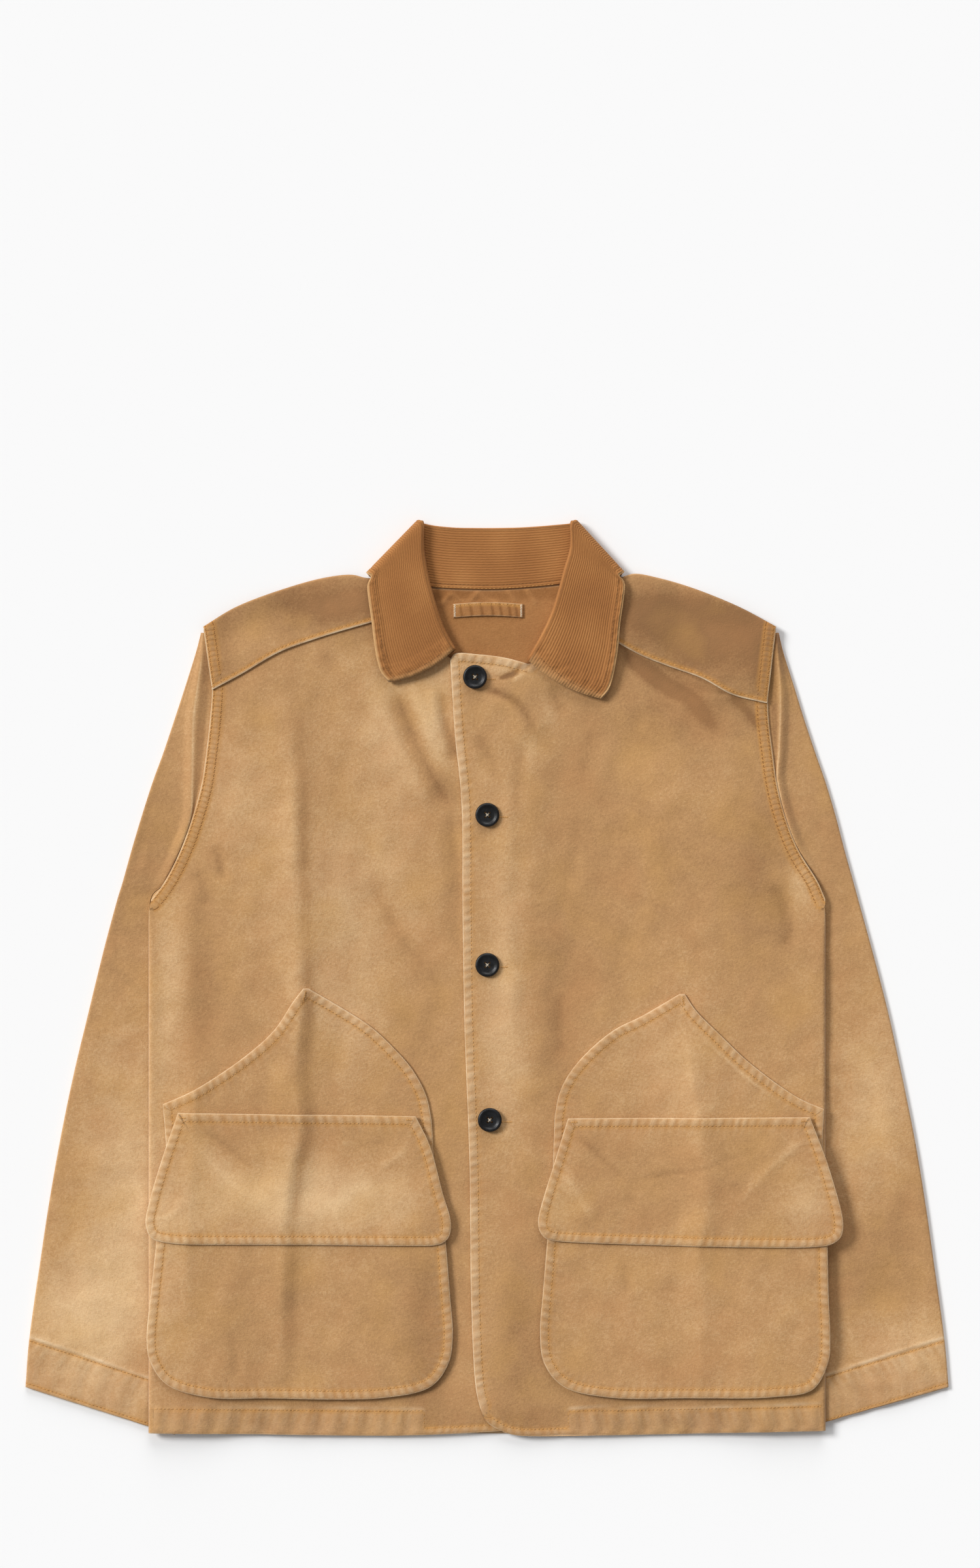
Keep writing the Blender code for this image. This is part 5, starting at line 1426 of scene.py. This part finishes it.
def addStitch(data, spot, direction, length, thick, normal=None):
    # one stitch is a stretched ball of twenty faces
    forward = Vector(direction).normalized()
    up = normal or Vector((0, 0, 1))
    across = up.cross(forward).normalized()
    turn = Matrix((forward, across, forward.cross(across))).transposed().to_4x4()
    size = Matrix.Diagonal((length / 2 * mm, thick * mm, thick * mm, 1.0))
    bmesh.ops.create_icosphere(data, subdivisions=1, radius=1.0,
                               matrix=Matrix.Translation(spot) @ turn @ size)


def finishThreads(data, kind, owner, finish):
    sewn[owner].append(addMesh("%s%s%d" % (owner, kind, len(sewn[owner])), data, finish))


def sewRows(owner, runs, look=stitchLook, finish="goldenThread"):
    # runs: (path, inward side, row from the edge); stitches fall between the needle holes
    surface = surfaceOf(pieces[owner])
    data = bmesh.new()
    lean = look["slant"]
    for path, side, inset in runs:
        length = lengths(path)[-1]
        for k in range(int(length / look["pitch"])):
            share = min((k + 0.5) * look["pitch"] / length, 1.0)
            spot, ahead, behind = pick(path, [share, min(1.0, share + 0.6 / length),
                                              max(0.0, share - 0.6 / length)])
            run = (ahead - behind) / max(1e-6, np.linalg.norm(ahead - behind))
            spot = spot + np.array((-run[1], run[0])) * side * inset
            place, normal = fallOn(surface, spot)
            crowded = float(nearPath(path, spot[0], spot[1])[0]) < inset - 0.3
            if place is not None and normal.z > 0.7 and not crowded:
                addStitch(data, place - Vector((0, 0, look["sunk"] * mm)),
                          (run[0] + lean * run[1], run[1] - lean * run[0], 0.0),
                          look["length"], look["thick"], normal)
    finishThreads(data, "Stitches", owner, finish)


def rowsOf(kind, path, side):        # the stitch rows of a kind of seam
    return [(path, side, row) for row in seamKinds[kind]["rows"]]


for owner, index, top, way in (("rightFront", 1, 240.0, 1), ("leftFront", 2, 230.0, -1)):
    sewRows(owner, rowsOf("armhole", trace(armholePath(index, top)), way),
            dict(slantedLook, slant=way * slantedLook["slant"]), "brownThread")
sewRows("rightFront", rowsOf("hem", trace(hemRuns["right"]), -1)
        + rowsOf("facing", trace(((-14.0, -383.6),) + facingRuns["right"]), -1)
        + [(trace(((-53.0, -379.5), (-53.0, -364.5))), 1, 0.0)])
sewRows("leftFront", rowsOf("front", trace(overEdge[:-2]), 1)
        + rowsOf("front", trace(overTop), -1)
        + rowsOf("facing", trace(facingRuns["left"]), 1)
        + rowsOf("hem", trace(hemRuns["left"]), 1)
        + [(trace(((68.5, -379.7), (68.5, -364.7))), 1, 0.0)])
sewRows("yokePanel", rowsOf("yoke", trace(yokeSeam["right"]), 1)
        + rowsOf("yoke", trace(yokeSeam["left"]), -1))
sewRows("yokePanel", rowsOf("armhole", trace(yokeArmhole["right"]), 1)
        + rowsOf("armhole", trace(yokeArmhole["left"]), -1), slantedLook, "brownThread")
for name, (line, way) in cuffLines.items():
    sewRows(name, rowsOf("cuff", line, way))
for name, edge in outlines.items():
    way = 1 if name.endswith("Right") else -1
    sewRows(name, rowsOf("pocket", edge, -way if name.startswith("hand") else way))
sewRows("hangerLoop", rowsOf("loop", trace(((-28.0, 315.0), (0.8, 316.8), (29.6, 315.0))), -1),
        dict(stitchLook, length=1.5, pitch=1.9, thick=0.2))
leafEdges = [trace([(row[4], row[5]) for row in leaf]) for leaf in (rightLeaf, leftLeaf)]
cornerEdges = (
    (trace(((-34.0, 269.5), (-44.0, 262.5), (-57.0, 255.5), (-68.0, 250.6))), -1),
    (trace(((40.0, 266.0), (56.0, 252.0), (72.0, 242.0), (88.0, 236.0))), 1))
sewRows("corduroyCollar", [
    (path, side, collarLook["edgeRow"])
    for path, side in [(edge, -1) for edge in leafEdges] + list(cornerEdges)
] + [(trace(backNeck[2:5]), 1, collarLook["underRow"])], finish="brownThread")
sewRows("corduroyCollar", [(trace(backNeck[2:5]), 1, collarLook["goldRow"])])
print("rows sewn")


def tack(owner, start, end, width, step=0.8, finish="goldenThread"):
    # a bar of close stitches across the line from start to end
    surface = surfaceOf(pieces[owner])
    data = bmesh.new()
    start, end = np.array(start), np.array(end)
    length = np.linalg.norm(end - start)
    run = (end - start) / length
    for k in range(int(length / step) + 1):
        place, normal = fallOn(surface, start + run * k * step)
        if place is not None:
            lean = tackLook["lean"] if k % 2 else -tackLook["lean"]
            addStitch(data, place, (-run[1] + lean * run[0], run[0] + lean * run[1], 0.0),
                      width, tackLook["thick"], normal)
    finishThreads(data, "Tack", owner, finish)


for owner, apex, way in (("handWarmerRight", (-152.6, -11.0), -1),
                         ("handWarmerLeft", (164.2, -15.6), 1)):
    tack(owner, apex, (apex[0] + 2.0 * way, apex[1] - 7.0), 3.0)
for owner, corner, way in (("flapRight", (-258.0, -117.0), 1), ("flapRight", (-63.0, -119.0), -1),
                           ("flapLeft", (269.0, -120.0), -1), ("flapLeft", (71.0, -121.0), 1)):
    tack(owner, corner, (corner[0] + 5.5 * way, corner[1]), 2.2)
for end in (-27.2, 28.8):
    tack("hangerLoop", (end, 304.8), (end, 315.2), 2.4, 0.7, "paleThread")
# what shows of each buttonhole, beside its button at +X
for spot, end in zip(buttonCentres, (7.0, 17.8, 17.8, 21.5)):
    tack("leftFront", (spot[0] + 8.0, spot[1] - 2.0), (end, spot[1] - 2.0), 1.7, 0.75)

# ---- buttons
buttonLook = {
    "width": 20.3, "height": 3.6, "steps": 48, "hole": 1.05, "spread": 1.75, "threadAt": 0.66,
    "profile": ((0.0, 0.0), (0.62, 0.0), (0.86, 0.08), (0.97, 0.3), (1.0, 0.52), (0.985, 0.74),
                (0.93, 0.93), (0.86, 1.0), (0.79, 0.97), (0.72, 0.84), (0.66, 0.7),
                (0.5, 0.62), (0.25, 0.6), (0.0, 0.6))}


def makeButton(index, centre, look):
    half = look["width"] / 2
    data = bmesh.new()
    verts = [data.verts.new((r * half * mm, 0.0, z * look["height"] * mm))
             for r, z in look["profile"]]
    edges = [data.edges.new(pair) for pair in zip(verts, verts[1:])]
    bmesh.ops.spin(data, geom=verts + edges, cent=(0, 0, 0), axis=(0, 0, 1), angle=math.tau,
                   steps=look["steps"], use_merge=True)
    bmesh.ops.remove_doubles(data, verts=data.verts, dist=1e-6)
    bmesh.ops.recalc_face_normals(data, faces=data.faces)
    turned = addMesh("turned", data)
    drills = bmesh.new()
    for x, y in [(sx * look["spread"], sy * look["spread"]) for sx in (-1, 1) for sy in (-1, 1)]:
        bmesh.ops.create_cone(drills, cap_ends=True, segments=16, radius1=look["hole"] * mm,
                              radius2=look["hole"] * mm, depth=0.02,
                              matrix=Matrix.Translation((x * mm, y * mm, 0.0)))
    drill = addMesh("drills", drills)
    cut = turned.modifiers.new("holes", "BOOLEAN")
    cut.operation, cut.object, cut.solver = "DIFFERENCE", drill, "EXACT"
    done = bpy.data.meshes.new_from_object(
        turned.evaluated_get(bpy.context.evaluated_depsgraph_get()))
    bpy.data.objects.remove(turned)
    bpy.data.objects.remove(drill)
    x, y = centre
    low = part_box("button_%d" % index)[0][2]
    done.transform(Matrix.Translation((x * mm, y * mm, low)))
    done.shade_smooth()
    done.set_sharp_from_angle(angle=math.radians(40))
    done.materials.clear()
    done.materials.append(finishes["satinHorn"])
    button = addObject("hornButton%d" % index, done)
    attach(button, "root")
    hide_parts("button_%d" % index)
    # the thread crosses between the holes
    threads = bmesh.new()
    top = low + look["height"] * look["threadAt"] * mm
    for lean in (-1, 1):
        for k in (-0.2, 0.2):
            spot = Vector(((x + k) * mm, (y - lean * k) * mm, top + (0.12 + 0.1 * lean) * mm))
            addStitch(threads, spot, (1.0, lean, 0.0), 2.8 * look["spread"], 0.17)
    thread = addMesh("buttonThread%d" % index, threads, "paleThread")
    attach(thread, "root")


for index, centre in enumerate(buttonCentres, start=1):
    makeButton(index, centre, buttonLook)
print("buttons made")

# ---- what each piece stands for, and the cloth it is cut from
# node, slot, flat size in mm, share of that rectangle, how it is held, what it lies on
standsFor = {
    "backPanel": ("back", "canvas", (572, 594), 0.95, "laid", ("sleeveRight", "sleeveLeft")),
    "rightFront": ("front_right", "canvas", (312, 660), 0.97, "laid", ("backPanel",)),
    "leftFront": ("front_left", "canvas", (312, 660), 0.94, "laid", ("backPanel",)),
    "yokePanel": ("yoke", "canvas", (486, 260), 0.55, "folded", ("backPanel",)),
    "sleeveRight": ("sleeve_right", "canvas", (300, 700), 0.8, "folded", ()),
    "sleeveLeft": ("sleeve_left", "canvas", (300, 700), 0.8, "folded", ()),
    "corduroyCollar": ("collar", "corduroy", (560, 88), 0.95, "folded", ("yokePanel",)),
    "underCollar": ("under_collar", "canvas", (430, 52), 1.0, "folded", ("yokePanel",)),
    "handWarmerRight": ("pocket_right", "canvas", (250, 340), 0.8, "laid", ("rightFront",)),
    "handWarmerLeft": ("pocket_left", "canvas", (250, 340), 0.8, "laid", ("leftFront",)),
    "cargoRight": ("cargo_right", "canvas", (258, 149), 0.96, "laid", ("handWarmerRight",)),
    "cargoLeft": ("cargo_left", "canvas", (244, 149), 0.96, "laid", ("handWarmerLeft",)),
    "flapRight": ("flap_right", "canvas", (256, 111), 0.9, "laid", ("cargoRight",)),
    "flapLeft": ("flap_left", "canvas", (256, 108), 0.9, "laid", ("cargoLeft",)),
    "hangerLoop": ("hanger_loop", "canvas", (60, 12), 1.0, "laid", ("yokePanel",)),
}
for name, (node, slot, size, share, held, under) in standsFor.items():
    piece = pieces[name]
    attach(piece, "root")
    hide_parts(node)
    for thread in sewn[name]:
        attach(thread, "root")
    shape = piece.evaluated_get(bpy.context.evaluated_depsgraph_get()).to_mesh()
    area = sum(face.area for face in shape.polygons) / 2
    triangles = sum(len(face.vertices) - 2 for face in shape.polygons)
    piece.to_mesh_clear()
    print("%s: %d triangles, %.4f square metres a side, cut %.4f"
          % (name, triangles, area, size[0] * size[1] * share * mm * mm))

# ---- table, light and camera
stageLook = {"floor": "#f8f8f8", "key": 2.8, "fill": 0.32, "softness": 20.0,
             "from": (-0.84, 0.44, 0.66), "above": 1.55, "aboveSoftness": 40.0,
             "aboveFrom": (0.05, 0.92, 0.38), "board": 30.0, "lens": 100.0, "sensor": 36.0,
             "eye": (0.0025, 0.1636, 3.675)}
# matt painted board
board, tree, shader = newFinish("mattBoard", {
    "Base Color": linear(stageLook["floor"]), "Roughness": 0.95, "Specular IOR Level": 0.1})
data = bmesh.new()
bmesh.ops.create_grid(data, x_segments=1, y_segments=1, size=stageLook["board"])
floor = addMesh("tableTop", data)
floor.data.materials.append(board)

for name, strength, softness, place in (
        ("softKey", stageLook["key"], stageLook["softness"], stageLook["from"]),
        ("softTop", stageLook["above"], stageLook["aboveSoftness"], stageLook["aboveFrom"])):
    lamp = bpy.data.lights.new(name, "SUN")
    lamp.energy = strength
    lamp.angle = math.radians(softness)
    lit = addObject(name, lamp)
    lit.rotation_euler = Vector(place).to_track_quat("Z", "Y").to_euler()
room = bpy.data.worlds.new("room")
room.use_nodes = True
for socket, value in (("Color", (1.0, 1.0, 1.0, 1.0)), ("Strength", stageLook["fill"])):
    room.node_tree.nodes["Background"].inputs[socket].default_value = value
bpy.context.scene.world = room
bpy.context.scene.view_settings.view_transform = "Standard"

lens = bpy.data.cameras.new("overhead")
lens.lens = stageLook["lens"]
lens.sensor_width = stageLook["sensor"]
camera = addObject("overhead", lens)
camera.location = stageLook["eye"]
bpy.context.scene.camera = camera
